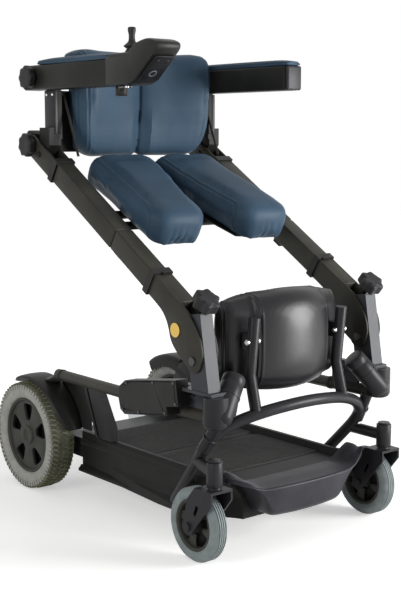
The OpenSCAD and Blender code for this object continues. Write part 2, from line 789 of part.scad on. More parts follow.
module seat_cushion(s) {
    ks = [0, 0.016, 0.044, 0.083, 0.133, 0.2, 0.29, 0.39, 0.5, 0.61, 0.71, 0.8, 0.88, 0.93, 0.955, 0.975, 0.99, 1];
    color("#41536b") side(s) seat_frame_axes() skin([for (k = ks) seat_ring(k * seat_len)]);
}

// Back: uprights with knuckles, cross bars, stays and cushion
module knuckle() {
    translate([back_y, back_z]) circle(r = 22);
    polygon([[up_front, back_z + 70], [up_front, back_z + 24], [back_y - 21, back_z - 6], [back_y + 21, back_z + 4],
        [up_back, back_z + 40], [up_back, back_z + 70]]);
}

module back_frame() color("#4b4a44") {
    both() {
        yz_plate(arm_x - up_w / 2, arm_x + up_w / 2) knuckle();
        translate([0, back_y, back_z]) along_x(hinge_r, arm_in - 4, arm_out + 4);
        box([beam_x - neck_w / 2, up_front, back_z + 40], [beam_x + neck_w / 2, up_back, up_top]);
        box([beam_x - neck_w / 2, up_front + 4, up_top - eps], [beam_x + neck_w / 2, up_back - 4, beam_z + beam_t + 4]);
        box([beam_x - beam_w / 2 + beam_t + slide_gap, 250, beam_z + beam_t + slide_gap],
            [beam_x + beam_w / 2 - beam_t - slide_gap, beam_back - beam_t - travel - 14,
            beam_z + beam_h - beam_t - slide_gap]);
        rod([stay_x, up_front + 8, up_top - 8], [stay_x, up_front - 58, back_z - 4], stay_r);
        translate([0, up_front + 8, up_top - 10]) along_x(stay_r + 1.5, stay_x - stay_r, beam_x);
    }
    for (z = [back_z0 + 90, back_z0 + 150])
        box([-beam_x, back_plane, z], [beam_x, back_plane + 10, z + 30]);
    box([-panel_half, back_plane, back_z0 + 20], [panel_half, back_plane + 6, up_top]);
}

function back_ring(x) = let (n = 22, k = abs(x) / back_half,
    d = back_t * (0.40 + 0.20 * smooth(0, 0.16, k) + 0.40 * smooth(0.1, 0.95, k))
        * (0.42 + 0.58 * dome(max(0, (k - 0.86) / 0.14), 2.2)),
    hz = back_h / 2 * (1 - 0.04 * smooth(0.12, 0, k) - 0.22 * pow(max(0, (k - 0.72) / 0.28), 2.4)))
    [for (i = [0 : n]) let (a = 90 + 180 * i / n, lift = sin(a))
        [x, back_plane + d * (0.86 + 0.14 * lift) * spow(cos(a), 0.42), back_z0 + back_h / 2 + hz * spow(lift, 0.62)]];

module back_cushion() color("#4d6282") {
    fr = [1, 0.975, 0.93, 0.86, 0.76, 0.64, 0.5, 0.36, 0.24, 0.14, 0.06, 0.02];
    xs = concat([for (f = fr) -f * back_half], [0], [for (i = [len(fr) - 1 : -1 : 0]) fr[i] * back_half]);
    skin([for (x = xs) back_ring(x)]);
}

// Armrests
module armrest_beam(s, front) color("#4b4a44") side(s) difference() {
    box([beam_x - beam_w / 2, front, beam_z], [beam_x + beam_w / 2, beam_back, beam_z + beam_h]);
    box([beam_x - beam_w / 2 + beam_t, front - 1, beam_z + beam_t],
        [beam_x + beam_w / 2 - beam_t, beam_back - beam_t, beam_z + beam_h - beam_t]);
    translate([0, beam_knob_y, beam_z + beam_h / 2]) along_x(knob_stud + run_gap, beam_x, big);
    box([beam_x - neck_w / 2 - 1, up_front + 2, beam_z - 1],
        [beam_x + neck_w / 2 + 1, up_back + travel, beam_z + beam_t + 1]);
}

function pad_ring(y, y0, y1) = let (n = 18, k = (y - y0) / (y1 - y0), e = dome(2 * k - 1, 7))
    [for (i = [0 : n - 1]) let (a = -360 * i / n)
        [beam_x + (beam_w / 2 + 3) * (0.75 + 0.25 * e) * spow(cos(a), 0.6), y,
            beam_z + beam_h + max(0, pad_t * (0.4 + 0.6 * e) * (0.35 + 0.65 * spow(sin(a), 0.7)))]];

module armrest_pad(s, y0, y1) color("#3c4c60") side(s)
    skin([for (k = [0, 0.02, 0.06, 0.14, 0.3, 0.5, 0.7, 0.86, 0.94, 0.98, 1]) pad_ring(y0 + k * (y1 - y0), y0, y1)]);

module armrest_end_cap() color("#8a8c8e") side(1) {
    box([beam_x - beam_w / 2 + beam_t, beam_front_l - 1, beam_z + beam_t],
        [beam_x + beam_w / 2 - beam_t, beam_front_l + 20, beam_z + beam_h - beam_t]);
    box([beam_x - beam_w / 2, beam_front_l - 8, beam_z], [beam_x + beam_w / 2, beam_front_l, beam_z + beam_h]);
    box([beam_x - beam_w / 2 + 5, beam_front_l - 13, beam_z + 5],
        [beam_x + beam_w / 2 - 5, beam_front_l - 8 + eps, beam_z + beam_h - 5]);
}

module pod_outline() {
    polygon([[beam_front_r, beam_z], [-50, beam_z], [-76, beam_z + 9], [-160, beam_z + 74], [-166, beam_z + 86],
        [-157, beam_z + 97], [-122, beam_z + 103], [-76, beam_z + 95], [-60, beam_z + 86], [-52, beam_z + 76],
        [20, beam_z + 76], [beam_front_r, beam_z + 69]]);
}

module joystick_pod() color("#3f3d39") side(-1) difference() {
    union() {
        yz_plate(beam_x - pod_w / 2, beam_x + pod_w / 2) pod_outline();
        box([beam_x - beam_w / 2 + beam_t, beam_front_r - 1, beam_z + beam_t],
            [beam_x + beam_w / 2 - beam_t, beam_front_r + 60, beam_z + beam_h - beam_t]);
        translate([beam_x, 24, beam_z - 20]) cylinder(r = 15, h = 20 + eps);
        translate([beam_x, 24, beam_z - 24]) cylinder(r = 8, h = 6);
    }
    translate([beam_x, stick_y, stick_z - 26]) cylinder(r = ring_r + 2, h = 50);
    translate([beam_x, stick_y, stick_z - 8]) along_x(trunnion_r + run_gap, -ring_r - 7, ring_r + 7);
    yz_plate(beam_x - pod_w / 2 + 5, beam_x + pod_w / 2 - 5)
        polygon([[-92, beam_z + 32], [-152, beam_z + 80], [-122, beam_z + 94], [-82, beam_z + 84]]);
}

module joystick_gimbal() color("#202020") side(-1) translate([beam_x, stick_y, stick_z - 12]) difference() {
    union() {
        cylinder(r = ring_r, h = 8);
        translate([0, 0, 4]) along_x(trunnion_r, -ring_r - 6, ring_r + 6);
    }
    translate([0, 0, -1]) cylinder(r = ring_r - 3.5, h = 10);
    translate([0, 0, 4]) rotate([90, 0, 0]) cylinder(r = yoke_r + run_gap, h = 2 * ring_r + 2, center = true);
}

module joystick() color("#1b1b1b") side(-1) translate([beam_x, stick_y, stick_z]) {
    translate([0, 0, -8]) rotate([90, 0, 0]) cylinder(r = yoke_r, h = 2 * ring_r - 1, center = true);
    translate([0, 0, -9]) rotate_extrude() polygon([[0, -3], [ring_r - 6, -3], [ring_r - 6, 4], [12, 10], [19, 14],
        [19, 17], [9, 24], [7, 30], [7, 52], [9, 54], [9, 68], [7, 71], [0, 71]]);
}

// Knobs
module star(r, lobes, h) linear_extrude(h) {
    circle(r = r * 0.84);
    for (i = [0 : lobes - 1]) rotate(360 * i / lobes) translate([r * 0.72, 0]) circle(r = r * 0.28);
}

module side_knob(wall, face) {
    along_x(knob_stud, face - wall, face + knob_boss);
    along_x(knob_r / 2, face + slide_gap, face + knob_boss);
    translate([face + knob_boss - eps, 0, 0]) rotate([0, 90, 0]) star(knob_r, 8, knob_t);
}

module arm_knob(s) color("#1d1d1d") side(s) arm_frame() translate([0, knob_u, arm_v]) side_knob(plate_t, arm_out);

module post_knob(s) color("#262626") side(s) knob_axes() {
    translate([0, 0, -62]) cylinder(r = 5, h = 50);
    translate([0, 0, -24]) cylinder(r = 10, h = 12);
    translate([0, 0, -14]) star(33, 6, 28);
}

module armrest_knob(s) color("#1d1d1d") side(s) translate([0, beam_knob_y, beam_z + beam_h / 2])
    side_knob(beam_t, beam_out);

module frame_bolts() color("#b9babb") both() {
    for (y = [-226, -250]) translate([0, y, 378]) {
        along_x(4, rail_x - 12, rail_x + 8);
        along_x(7, rail_x + 5, rail_x + 10);
        along_x(7, rail_x - 10, rail_x - 5);
    }
    translate([0, -331, knee_z]) {
        along_x(4, knee_x - 22, knee_x + 22);
        along_x(6.5, knee_x + hoop_r, knee_x + hoop_r + 5);
        along_x(6.5, knee_x - hoop_r - 5, knee_x - hoop_r);
    }
}

place() deck_tray();
place() deck_cover();
place() deck_mats();
place() nose_bumper();
place() axle_housing();
place() battery_packs();
place() gearmotors();
place() fender(-1);  // fender_right
place() fender(1);  // fender_left
place() side_rails();
place() rear_uprights();
place() control_box();
place() control_box_cover();
place() box_screws();
place() frame_bolts();
place() lift_post(-1);  // lift_post_right
place() lift_post(1);  // lift_post_left
place() lift_gearmotors();
place() front_hoop();
place() knee_pad_uprights();
place() knee_pad();
place() caster_brackets();
place() lift_pivot_pins();
place() drive_rim(-1);  // drive_rim_right
place() drive_tyre(-1);  // drive_tyre_right
place() drive_rim(1);  // drive_rim_left
place() drive_tyre(1);  // drive_tyre_left
place() caster_fork(-1);  // caster_fork_right
place() caster_fork(1);  // caster_fork_left
place() caster_rim(-1);  // caster_rim_right
place() caster_tyre(-1);  // caster_tyre_right
place() caster_rim(1);  // caster_rim_left
place() caster_tyre(1);  // caster_tyre_left
place() lift_arm(-1);  // lift_arm_right
place() lift_arm(1);  // lift_arm_left
place() arm_collars();
place() brass_caps();
place() rubber_stops();
place() upper_arm(-1);  // upper_arm_right
place() upper_arm(1);  // upper_arm_left
place() rear_collars();
place() seat_frame();
place() seat_cushion(-1);  // seat_cushion_right
place() seat_cushion(1);  // seat_cushion_left
place() back_frame();
place() back_cushion();
place() armrest_beam(-1, beam_front_r);  // armrest_beam_right
place() armrest_pad(-1, beam_front_r + 4, pad_back);  // armrest_pad_right
place() joystick_pod();
place() joystick_gimbal();
place() joystick();
place() armrest_beam(1, beam_front_l);  // armrest_beam_left
place() armrest_pad(1, beam_front_l - 10, pad_back);  // armrest_pad_left
place() armrest_end_cap();
place() armrest_knob(-1);  // armrest_knob_right
place() armrest_knob(1);  // armrest_knob_left
place() arm_knob(-1);  // arm_knob_right
place() arm_knob(1);  // arm_knob_left
place() post_knob(-1);  // post_knob_right
place() post_knob(1);  // post_knob_left
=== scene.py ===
import math

import bmesh
import bpy
import numpy as np
from mathutils import Matrix, Vector
from mathutils.bvhtree import BVHTree
from mathutils.kdtree import KDTree


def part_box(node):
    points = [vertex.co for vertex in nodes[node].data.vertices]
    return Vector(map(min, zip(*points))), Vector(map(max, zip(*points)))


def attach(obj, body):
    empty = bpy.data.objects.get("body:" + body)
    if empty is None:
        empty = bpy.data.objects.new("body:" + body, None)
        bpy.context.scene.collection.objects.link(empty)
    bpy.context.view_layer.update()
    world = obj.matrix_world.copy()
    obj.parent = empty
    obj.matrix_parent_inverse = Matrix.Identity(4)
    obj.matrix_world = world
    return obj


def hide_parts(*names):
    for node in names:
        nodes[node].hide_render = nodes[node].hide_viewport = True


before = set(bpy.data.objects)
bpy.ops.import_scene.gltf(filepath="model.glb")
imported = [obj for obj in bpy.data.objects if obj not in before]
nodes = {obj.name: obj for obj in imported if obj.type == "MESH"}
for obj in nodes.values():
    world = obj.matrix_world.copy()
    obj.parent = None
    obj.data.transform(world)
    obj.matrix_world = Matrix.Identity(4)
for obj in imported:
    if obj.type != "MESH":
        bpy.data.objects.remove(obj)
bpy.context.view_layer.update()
print("frame loaded:", len(nodes), "nodes")

midY = 108.5  # where the frame's zero lies in the drawing's own Y, mm
weldGap = 0.00001  # points nearer than this are one, metres


def at(x, y, z):  # chair drawing millimetres to frame metres
    return Vector((x / 1000, (y - midY) / 1000, z / 1000))


# Materials


def toLinear(hexColour):  # sRGB hex to linear RGBA
    parts = [int(hexColour[i:i + 2], 16) / 255 for i in (1, 3, 5)]
    return tuple(c / 12.92 if c <= 0.04045 else ((c + 0.055) / 1.055) ** 2.4 for c in parts) + (1,)


def addNode(tree, kind, inputs=None, **settings):  # one node with its settings, values and links
    node = tree.nodes.new(kind)
    for name, value in settings.items():
        setattr(node, name, value)
    for key, value in (inputs or {}).items():
        if isinstance(value, bpy.types.NodeSocket):
            tree.links.new(value, node.inputs[key])
        else:
            node.inputs[key].default_value = value
    return node


def objectSpace(tree):
    return addNode(tree, "ShaderNodeTexCoord").outputs["Object"]


def newMaterial(name, roughness, sockets):
    material = bpy.data.materials.new(name)
    material.use_nodes = True
    tree = material.node_tree
    shader = tree.nodes["Principled BSDF"]
    shader.inputs["Roughness"].default_value = roughness
    for key, value in sockets.items():
        shader.inputs[key].default_value = value
    return material, tree, shader, objectSpace(tree)


def noiseOf(tree, space, sizeMm, detail, roughness=0.5):  # soft noise with features of this real size
    inputs = {"Vector": space, "Scale": 1000 / sizeMm, "Detail": detail, "Roughness": roughness}
    return addNode(tree, "ShaderNodeTexNoise", inputs).outputs["Fac"]


def cellsOf(tree, space, sizeMm):  # grain cells of this real size
    inputs = {"Vector": space, "Scale": 1000 / sizeMm}
    return addNode(tree, "ShaderNodeTexVoronoi", inputs).outputs["Distance"]


def tintBetween(tree, shader, factor, low, high, start=0.35, end=0.65):
    ramp = addNode(tree, "ShaderNodeValToRGB", {"Fac": factor})
    for element, place, tone in zip(ramp.color_ramp.elements, (start, end), (low, high)):
        element.position = place
        element.color = toLinear(tone)
    tree.links.new(ramp.outputs["Color"], shader.inputs["Base Color"])


def bumpFrom(tree, shader, height, depthMm, strength):
    inputs = {"Height": height, "Strength": strength, "Distance": depthMm / 1000}
    bump = addNode(tree, "ShaderNodeBump", inputs)
    tree.links.new(bump.outputs["Normal"], shader.inputs["Normal"])


def roughBetween(tree, shader, factor, low, high):
    spread = addNode(tree, "ShaderNodeMapRange", {"Value": factor, "To Min": low, "To Max": high})
    tree.links.new(spread.outputs["Result"], shader.inputs["Roughness"])


# Powder coat on steel tube: matt, an even fine orange peel that breaks up highlights
def powderCoat(name, low, high, roughness, peelMm, depthMm):
    material, tree, shader, space = newMaterial(name, roughness, {"Specular IOR Level": 0.14})
    tintBetween(tree, shader, noiseOf(tree, space, 90, 3.0), low, high)
    peel = noiseOf(tree, space, peelMm, 2.0)
    bumpFrom(tree, shader, peel, depthMm, 0.35)
    roughBetween(tree, shader, peel, roughness - 0.06, roughness + 0.06)
    return material


# Moulded ABS: spark-eroded grain, softly shiny on the high spots
def mouldedPlastic(name, low, high, roughness, grainMm):
    material, tree, shader, space = newMaterial(name, roughness, {"IOR": 1.54, "Specular IOR Level": 0.14})
    tintBetween(tree, shader, noiseOf(tree, space, 60, 2.0), low, high)
    grain = cellsOf(tree, space, grainMm)
    bumpFrom(tree, shader, grain, 0.12, 0.3)
    roughBetween(tree, shader, grain, roughness - 0.05, roughness + 0.08)
    return material


# Upholstery vinyl: pebble grain pressed in, soft sheen
def vinyl(name, low, high, roughness, sheen, grainMm, gloss=0.25):
    material, tree, shader, space = newMaterial(name, roughness, {
        "IOR": 1.5, "Specular IOR Level": gloss, "Sheen Weight": sheen, "Sheen Roughness": 0.5})
    tintBetween(tree, shader, noiseOf(tree, space, 120, 4.0), low, high)
    pebble = cellsOf(tree, space, grainMm)
    both = addNode(tree, "ShaderNodeMath", {0: pebble, 1: noiseOf(tree, space, 14, 5.0)}, operation="ADD")
    bumpFrom(tree, shader, both.outputs["Value"], 0.25, 0.28)
    roughBetween(tree, shader, pebble, roughness - 0.05, roughness + 0.1)
    return material


# Grey moulded rubber: non-marking compound, dusty and matt
def tyreRubber(name, low, high, roughness):
    material, tree, shader, space = newMaterial(name, roughness, {"IOR": 1.5, "Specular IOR Level": 0.25})
    tintBetween(tree, shader, noiseOf(tree, space, 22, 6.0, 0.6), low, high, 0.3, 0.7)
    bumpFrom(tree, shader, noiseOf(tree, space, 1.4, 2.0), 0.2, 0.3)
    return material


# Plated or bare metal: fine turning marks, crisp highlights
def plainMetal(name, colour, roughness, markMm):
    material, tree, shader, space = newMaterial(name, roughness, {"Metallic": 1.0,
                                                                  "Base Color": toLinear(colour)})
    mark = noiseOf(tree, space, markMm, 3.0)
    roughBetween(tree, shader, mark, roughness - 0.08, roughness + 0.1)
    bumpFrom(tree, shader, mark, 0.05, 0.15)
    return material


finish = {
    "charcoal": powderCoat("charcoalPowderCoat", "#2b2a26", "#35342d", 0.46, 1.1, 0.12),
    "frameBlack": powderCoat("frameBlackPaint", "#151514", "#1b1b1a", 0.5, 1.1, 0.1),
    "beamBlack": powderCoat("blackPowderCoat", "#191918", "#21211f", 0.42, 1.1, 0.1),
    "satinBlack": powderCoat("satinBlackPaint", "#222224", "#29292c", 0.34, 1.6, 0.06),
    "postGrey": powderCoat("greyBlackPaint", "#35363a", "#3c3d42", 0.34, 1.4, 0.08),
    "blackPlastic": mouldedPlastic("blackAbs", "#1c1c1b", "#232322", 0.42, 1.2),
    "rimPlastic": mouldedPlastic("rimNylon", "#343430", "#3d3d38", 0.5, 1.2),
    # near-black web inside the rims: painted shade of the wheel's inside
    "rimShade": mouldedPlastic("rimInnerShadeNylon", "#0f0f0e", "#151514", 0.6, 1.2),
    "deckPlastic": mouldedPlastic("deckAbs", "#141413", "#1a1a19", 0.5, 1.2),
    "nosePlastic": mouldedPlastic("noseAbs", "#28282c", "#313136", 0.38, 1.5),
    "mat": tyreRubber("matRubber", "#333332", "#3e3e3d", 0.7),
    "rubber": tyreRubber("blackRubber", "#151515", "#1e1e1d", 0.6),
    "tyre": tyreRubber("greyTyreRubber", "#92928c", "#a9a9a3", 0.72),
    "casterTyre": tyreRubber("casterTyreRubber", "#71797a", "#868e8e", 0.6),
    "blue": vinyl("blueVinyl", "#2d4050", "#35495b", 0.46, 0.0, 1.4, 0.13),
    "blackVinyl": vinyl("blackVinyl", "#111113", "#161619", 0.31, 0.02, 1.6, 0.3),
    "brass": plainMetal("brass", "#c9a95a", 0.3, 0.6),
    "zinc": plainMetal("zincPlate", "#c4c6c8", 0.28, 0.6),
    "darkSteel": plainMetal("blackenedSteel", "#4a4a4b", 0.38, 0.6),
    "capPlastic": mouldedPlastic("capAbs", "#232327", "#2c2c31", 0.36, 1.2),
    "greyPlastic": mouldedPlastic("greyAbs", "#55575a", "#606265", 0.45, 1.2),
    "tread": tyreRubber("treadRubber", "#565742", "#73745c", 0.8),
    "thread": vinyl("polyesterThread", "#4a5d76", "#54677f", 0.6, 0.2, 0.8),
    "pod": mouldedPlastic("podAbs", "#1b1b1a", "#232321", 0.4, 1.2),
    # glossier panel plastic under the pod; its near-black tone is painted shade of the recess
    "podShadePanel": mouldedPlastic("podShadePanelAbs", "#121215", "#18181c", 0.3, 1.0),
    "knob": mouldedPlastic("knobNylon", "#222224", "#2a2a2c", 0.46, 1.4),
    "gaiter": tyreRubber("gaiterRubber", "#151515", "#1d1d1d", 0.5),
}
print("materials:", len(finish))

# CAD nodes that keep their own solid, by finish
nodeFinish = {
    "charcoal": ["side_rails"],
    "frameBlack": ["back_frame"],
    "postGrey": ["lift_post_right", "lift_post_left"],
    "satinBlack": ["knee_pad_uprights", "caster_brackets", "rear_uprights", "seat_frame", "axle_housing",
                   "caster_fork_right", "caster_fork_left"],
    "blackPlastic": ["control_box", "control_box_cover", "arm_collars", "rear_collars", "battery_packs"],
    "deckPlastic": ["deck_tray", "deck_cover"],
    "rubber": ["rubber_stops"],
    "brass": ["brass_caps"],
    "zinc": ["frame_bolts", "gearmotors"],
    "darkSteel": ["lift_pivot_pins", "box_screws"],
}
edgeMm = {"deck_tray": 4, "control_box": 3, "control_box_cover": 3, "lift_post_right": 2.5,
          "lift_post_left": 2.5, "rear_uprights": 2, "axle_housing": 4, "arm_collars": 1.5,
          "rear_collars": 1.5}  # 1 for the others


def dressNode(name, material):
    solid = nodes[name]
    solid.data.materials.clear()
    solid.data.materials.append(material)
    weld = solid.modifiers.new("weld", "WELD")
    weld.merge_threshold = weldGap
    bevel = solid.modifiers.new("edge", "BEVEL")
    bevel.width = edgeMm.get(name, 1.0) / 1000
    bevel.segments = 2
    bevel.limit_method = "ANGLE"
    bevel.angle_limit = math.radians(40)


for kind, names in nodeFinish.items():
    for name in names:
        dressNode(name, finish[kind])
print("CAD nodes dressed")

# Shape helpers


def smoothStep(low, high, t):
    k = np.clip((np.asarray(t, float) - low) / (high - low), 0, 1)
    return k * k * (3 - 2 * k)


def signedPower(value, power):
    return np.sign(value) * np.abs(value) ** power


def dome(t, power):
    return np.maximum(0, 1 - np.abs(t) ** power) ** (1 / power)


def fullTurn(count):
    return np.linspace(0, 2 * math.pi, count, endpoint=False)


def linked(name, data):
    piece = bpy.data.objects.new(name, data)
    bpy.context.scene.collection.objects.link(piece)
    return piece


def turnedOut(piece, fresh=False):  # faces point outwards; a fresh mesh is also welded and smooth
    work = bmesh.new()
    work.from_mesh(piece.data)
    if fresh:
        bmesh.ops.remove_doubles(work, verts=work.verts, dist=weldGap)
    bmesh.ops.recalc_face_normals(work, faces=work.faces)
    for face in work.faces if fresh else ():
        face.smooth = True
    work.to_mesh(piece.data)
    work.free()
    return piece


def sharpened(piece, angle):  # edges steeper than this stay crisp
    piece.data.set_sharp_from_angle(angle=math.radians(angle))
    return piece


def buildMesh(name, points, faces, material):
    mesh = bpy.data.meshes.new(name)
    mesh.from_pydata([tuple(map(float, p)) for p in points], [], faces)
    mesh.materials.append(material)
    return turnedOut(linked(name, mesh), True)


def loft(name, rings, material):  # rings of equal count, closed with a fan at each end
    rings = np.asarray(rings, float)
    count, around = rings.shape[:2]
    points = list(rings.reshape(-1, 3)) + [rings[0].mean(0), rings[-1].mean(0)]
    faces = []
    for i in range(count - 1):
        for j in range(around):
            k = (j + 1) % around
            faces.append((i * around + j, i * around + k, (i + 1) * around + k, (i + 1) * around + j))
    first, last = count * around, count * around + 1
    for j in range(around):
        k = (j + 1) % around
        faces.append((first, k, j))
        faces.append((last, (count - 1) * around + j, (count - 1) * around + k))
    return buildMesh(name, points, faces, material)


def bake(piece):  # the evaluated shape becomes the piece's own plain mesh
    shape = piece.evaluated_get(bpy.context.evaluated_depsgraph_get())
    mesh = bpy.data.meshes.new_from_object(shape)
    piece.modifiers.clear()
    piece.data = mesh
    return piece


def readVertices(piece, what):
    flat = np.empty(len(piece.data.vertices) * 3)
    piece.data.vertices.foreach_get(what, flat)
    return flat.reshape(-1, 3)


def coords(piece):
    return readVertices(piece, "co")


def normals(piece):
    return readVertices(piece, "normal")


def setCoords(piece, points):
    piece.data.vertices.foreach_set("co", np.asarray(points, float).ravel())
    piece.data.update()


cover = {"quality": 5, "mass": 0.3, "tension_stiffness": 20, "compression_stiffness": 20,
         "shear_stiffness": 8, "bending_stiffness": 4, "use_pressure": True}  # cloth settings of the vinyl
coverFrames = 20


def puff(piece, voxelMm, pressure, capMm):  # pressure the cover like foam under vinyl
    even = piece.modifiers.new("even", "REMESH")
    even.mode = "VOXEL"
    even.voxel_size = voxelMm / 1000
    bake(piece)
    for face in piece.data.polygons:
        face.use_smooth = True
    rest = coords(piece)
    cloth = piece.modifiers.new("cover", "CLOTH")
    for name, value in cover.items():
        setattr(cloth.settings, name, value)
    cloth.settings.uniform_pressure_force = pressure
    cloth.settings.effector_weights.gravity = 0
    cloth.point_cache.frame_start = 1
    cloth.point_cache.frame_end = coverFrames
    for step in range(1, coverFrames + 1):
        bpy.context.scene.frame_set(step)
    bake(piece)
    bpy.context.scene.frame_set(1)
    move = coords(piece) - rest
    length = np.linalg.norm(move, axis=1, keepdims=True)
    move *= np.minimum(1, capMm / 1000 / np.maximum(length, 1e-9))
    setCoords(piece, rest + move)
    ease = piece.modifiers.new("ease", "SMOOTH")
    ease.factor = 0.5
    ease.iterations = 3
    bake(piece)
    smooth = piece.modifiers.new("smooth", "SUBSURF")
    smooth.levels = smooth.render_levels = 1
    return bake(piece)


def resample(line, stepMm=2.0):
    line = np.asarray(line, float)
    run = np.concatenate([[0], np.cumsum(np.linalg.norm(np.diff(line, axis=0), axis=1))])
    places = np.arange(0, run[-1], stepMm / 1000)
    return np.stack([np.interp(places, run, line[:, i]) for i in range(3)], 1)


def distanceTo(points, line):
    tree = KDTree(len(line))
    for i, p in enumerate(line):
        tree.insert(p, i)
    tree.balance()
    return np.array([tree.find(p)[2] for p in points])


def sewSeam(piece, line, widthMm, depthMm, weltMm=0.0):  # a groove along the line, with a welt beside it
    points = coords(piece)
    gap = distanceTo(points, resample(line)) * 1000
    groove = -depthMm * np.exp(-(gap / widthMm) ** 2)
    welt = weltMm * np.exp(-((gap - 2.3 * widthMm) / widthMm) ** 2)
    setCoords(piece, points + normals(piece) * ((groove + welt) / 1000)[:, None])


def onSurface(piece, line, liftMm):  # lays a line on the piece's skin
    tree = BVHTree.FromPolygons(coords(piece).tolist(), [tuple(p.vertices) for p in piece.data.polygons])
    laid = []
    for p in line:
        place, normal, _, _ = tree.find_nearest(Vector(p))
        laid.append(np.array(place + normal * (liftMm / 1000)))
    return np.array(laid)


# Repeats made by geometry nodes


def nodeTree(name, sockets):
    tree = bpy.data.node_groups.new(name, "GeometryNodeTree")
    tree.interface.new_socket("Geometry", in_out="INPUT", socket_type="NodeSocketGeometry")
    ids = {}
    for label, kind in sockets.items():
        socket = tree.interface.new_socket(label, in_out="INPUT", socket_type="NodeSocket" + kind)
        ids[label] = socket.identifier
    tree.interface.new_socket("Geometry", in_out="OUTPUT", socket_type="NodeSocketGeometry")
    return tree, ids, tree.nodes.new("NodeGroupInput").outputs


def closeTree(tree, geometry, material):  # real geometry, because the export drops instances
    real = addNode(tree, "GeometryNodeRealizeInstances", {"Geometry": geometry})
    painted = addNode(tree, "GeometryNodeSetMaterial", {"Geometry": real.outputs[0], "Material": material})
    end = tree.nodes.new("NodeGroupOutput")
    tree.links.new(painted.outputs[0], end.inputs[0])


def runTree(name, group, values, start=None):  # a plain mesh from the tree
    tree, ids = group
    piece = linked(name, start or bpy.data.meshes.new(name))
    modifier = piece.modifiers.new("repeat", "NODES")
    modifier.node_group = tree
    for label, value in values.items():
        modifier[ids[label]] = value
    shape = piece.evaluated_get(bpy.context.evaluated_depsgraph_get())
    mesh = bpy.data.meshes.new_from_object(shape)
    bpy.data.objects.remove(piece)
    return linked(name, mesh)


def joined(name, parts):
    work = bmesh.new()
    slots = []
    for part in parts:
        before = len(work.faces)
        for material in part.data.materials:
            if material not in slots:
                slots.append(material)
        lookup = [slots.index(m) for m in part.data.materials]
        work.from_mesh(part.data)
        work.faces.ensure_lookup_table()
        for face in work.faces[before:]:
            face.material_index = lookup[face.material_index] if lookup else 0
    mesh = bpy.data.meshes.new(name)
    work.to_mesh(mesh)
    work.free()
    for material in slots:
        mesh.materials.append(material)
    for part in parts:
        bpy.data.objects.remove(part)
    return linked(name, mesh)


def stitchTree():
    tree, ids, given = nodeTree("stitchRun", {"Spacing": "Float", "Length": "Float", "Thread": "Float",
                                              "Material": "Material"})
    curve = addNode(tree, "GeometryNodeMeshToCurve", {"Mesh": given["Geometry"]})
    spots = addNode(tree, "GeometryNodeCurveToPoints", {"Curve": curve.outputs[0],
                                                        "Length": given["Spacing"]}, mode="LENGTH")
    thread = addNode(tree, "GeometryNodeMeshCylinder", {"Vertices": 6, "Radius": given["Thread"],
                                                        "Depth": given["Length"]})
    run = addNode(tree, "GeometryNodeInstanceOnPoints", {"Points": spots.outputs["Points"],
                                                         "Instance": thread.outputs["Mesh"],
                                                         "Rotation": spots.outputs["Rotation"]})
    closeTree(tree, run.outputs[0], given["Material"])
    return tree, ids


stitchGroup = stitchTree()
stitch = {"Spacing": 0.006, "Length": 0.004, "Thread": 0.00045}


def stitches(name, line):
    line = resample(line, 4.0)
    path = bpy.data.meshes.new(name + "Path")
    path.from_pydata([tuple(p) for p in line], [(i, i + 1) for i in range(len(line) - 1)], [])
    return runTree(name, stitchGroup, {**stitch, "Material": finish["thread"]}, path)


def settle(piece, body, slot, *replaced):
    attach(piece, body)
    if replaced:
        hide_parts(*replaced)


holdMm = 1.2  # how far inside


def heldInside(piece, node, share):  # soft corners kept inside their solid, to clear a neighbour when folded
    solid = nodes[node]
    tree = BVHTree.FromPolygons([solid.matrix_world @ v.co for v in solid.data.vertices],
                                [tuple(face.vertices) for face in solid.data.polygons])
    points = coords(piece)
    for i in np.nonzero(share > 0)[0]:
        spot, normal, _, _ = tree.find_nearest(Vector(points[i]))
        over = (Vector(points[i]) - spot).dot(normal) + holdMm / 1000
        if over > 0:
            points[i] -= np.array(normal) * over * share[i]
    setCoords(piece, points)


# Seat: two thigh cushions, each a wrapped top panel with side panels sewn in along its edge
seat = {"length": 370, "rearRound": 28, "frontRound": 44, "thick": 92, "pan": 4, "slope": 24, "rootY": -52,
        "rootZ": 709, "inset": 3, "around": 72, "rows": 64, "seamAngle": 40, "threadAngle": 49,
        "gatherMm": 1.9, "gathers": 7, "holdFrom": 290, "holdTo": 325, "seamRows": (352, 9, 90),
        "threadRows": (346, 70, 60)}
seatFrame = (Matrix.Translation(at(0, seat["rootY"], seat["rootZ"]))
             @ Matrix.Rotation(math.radians(seat["slope"]), 4, "X"))


def seatRing(y, angles, inset):
    t = 1 - y / seat["length"]
    rear = dome(max(0, 1 - (seat["length"] - y) / seat["rearRound"]), 2.4)
    front = dome(max(0, 1 - y / seat["frontRound"]), 2.4)
    ends = rear * front
    tip = max(0, (t - 0.82) / 0.18) ** 2.2
    inner = 2 + 53 * smoothStep(0.1, 1, t) + 18 * tip
    outer = 212 + 16 * smoothStep(0.2, 0.8, t) - 12 * tip
    span = (outer - inner) / 2
    inner += span * (0.32 * (1 - front) + 0.06 * (1 - rear))  # the halves meet at the rear
    outer -= span * 0.36 * (1 - ends)
    half = (outer - inner) / 2 - inset
    tall = seat["thick"] * (0.5 + 0.5 * ends) - inset
    c, s = np.cos(angles), np.sin(angles)
    across = (inner + outer) / 2 + half * signedPower(c, 0.55)
    up = seat["pan"] + np.maximum(0, tall * (0.42 + 0.58 * signedPower(s, 0.6)))
    return np.stack([across, np.full_like(across, y), up], 1)


def seatPlace(side, local):  # seat millimetres to the frame, for one side
    local = np.asarray(local, float) / 1000
    local[:, 0] *= side
    turned = local @ np.array(seatFrame.to_3x3()).T
    return turned + np.array(seatFrame.translation)


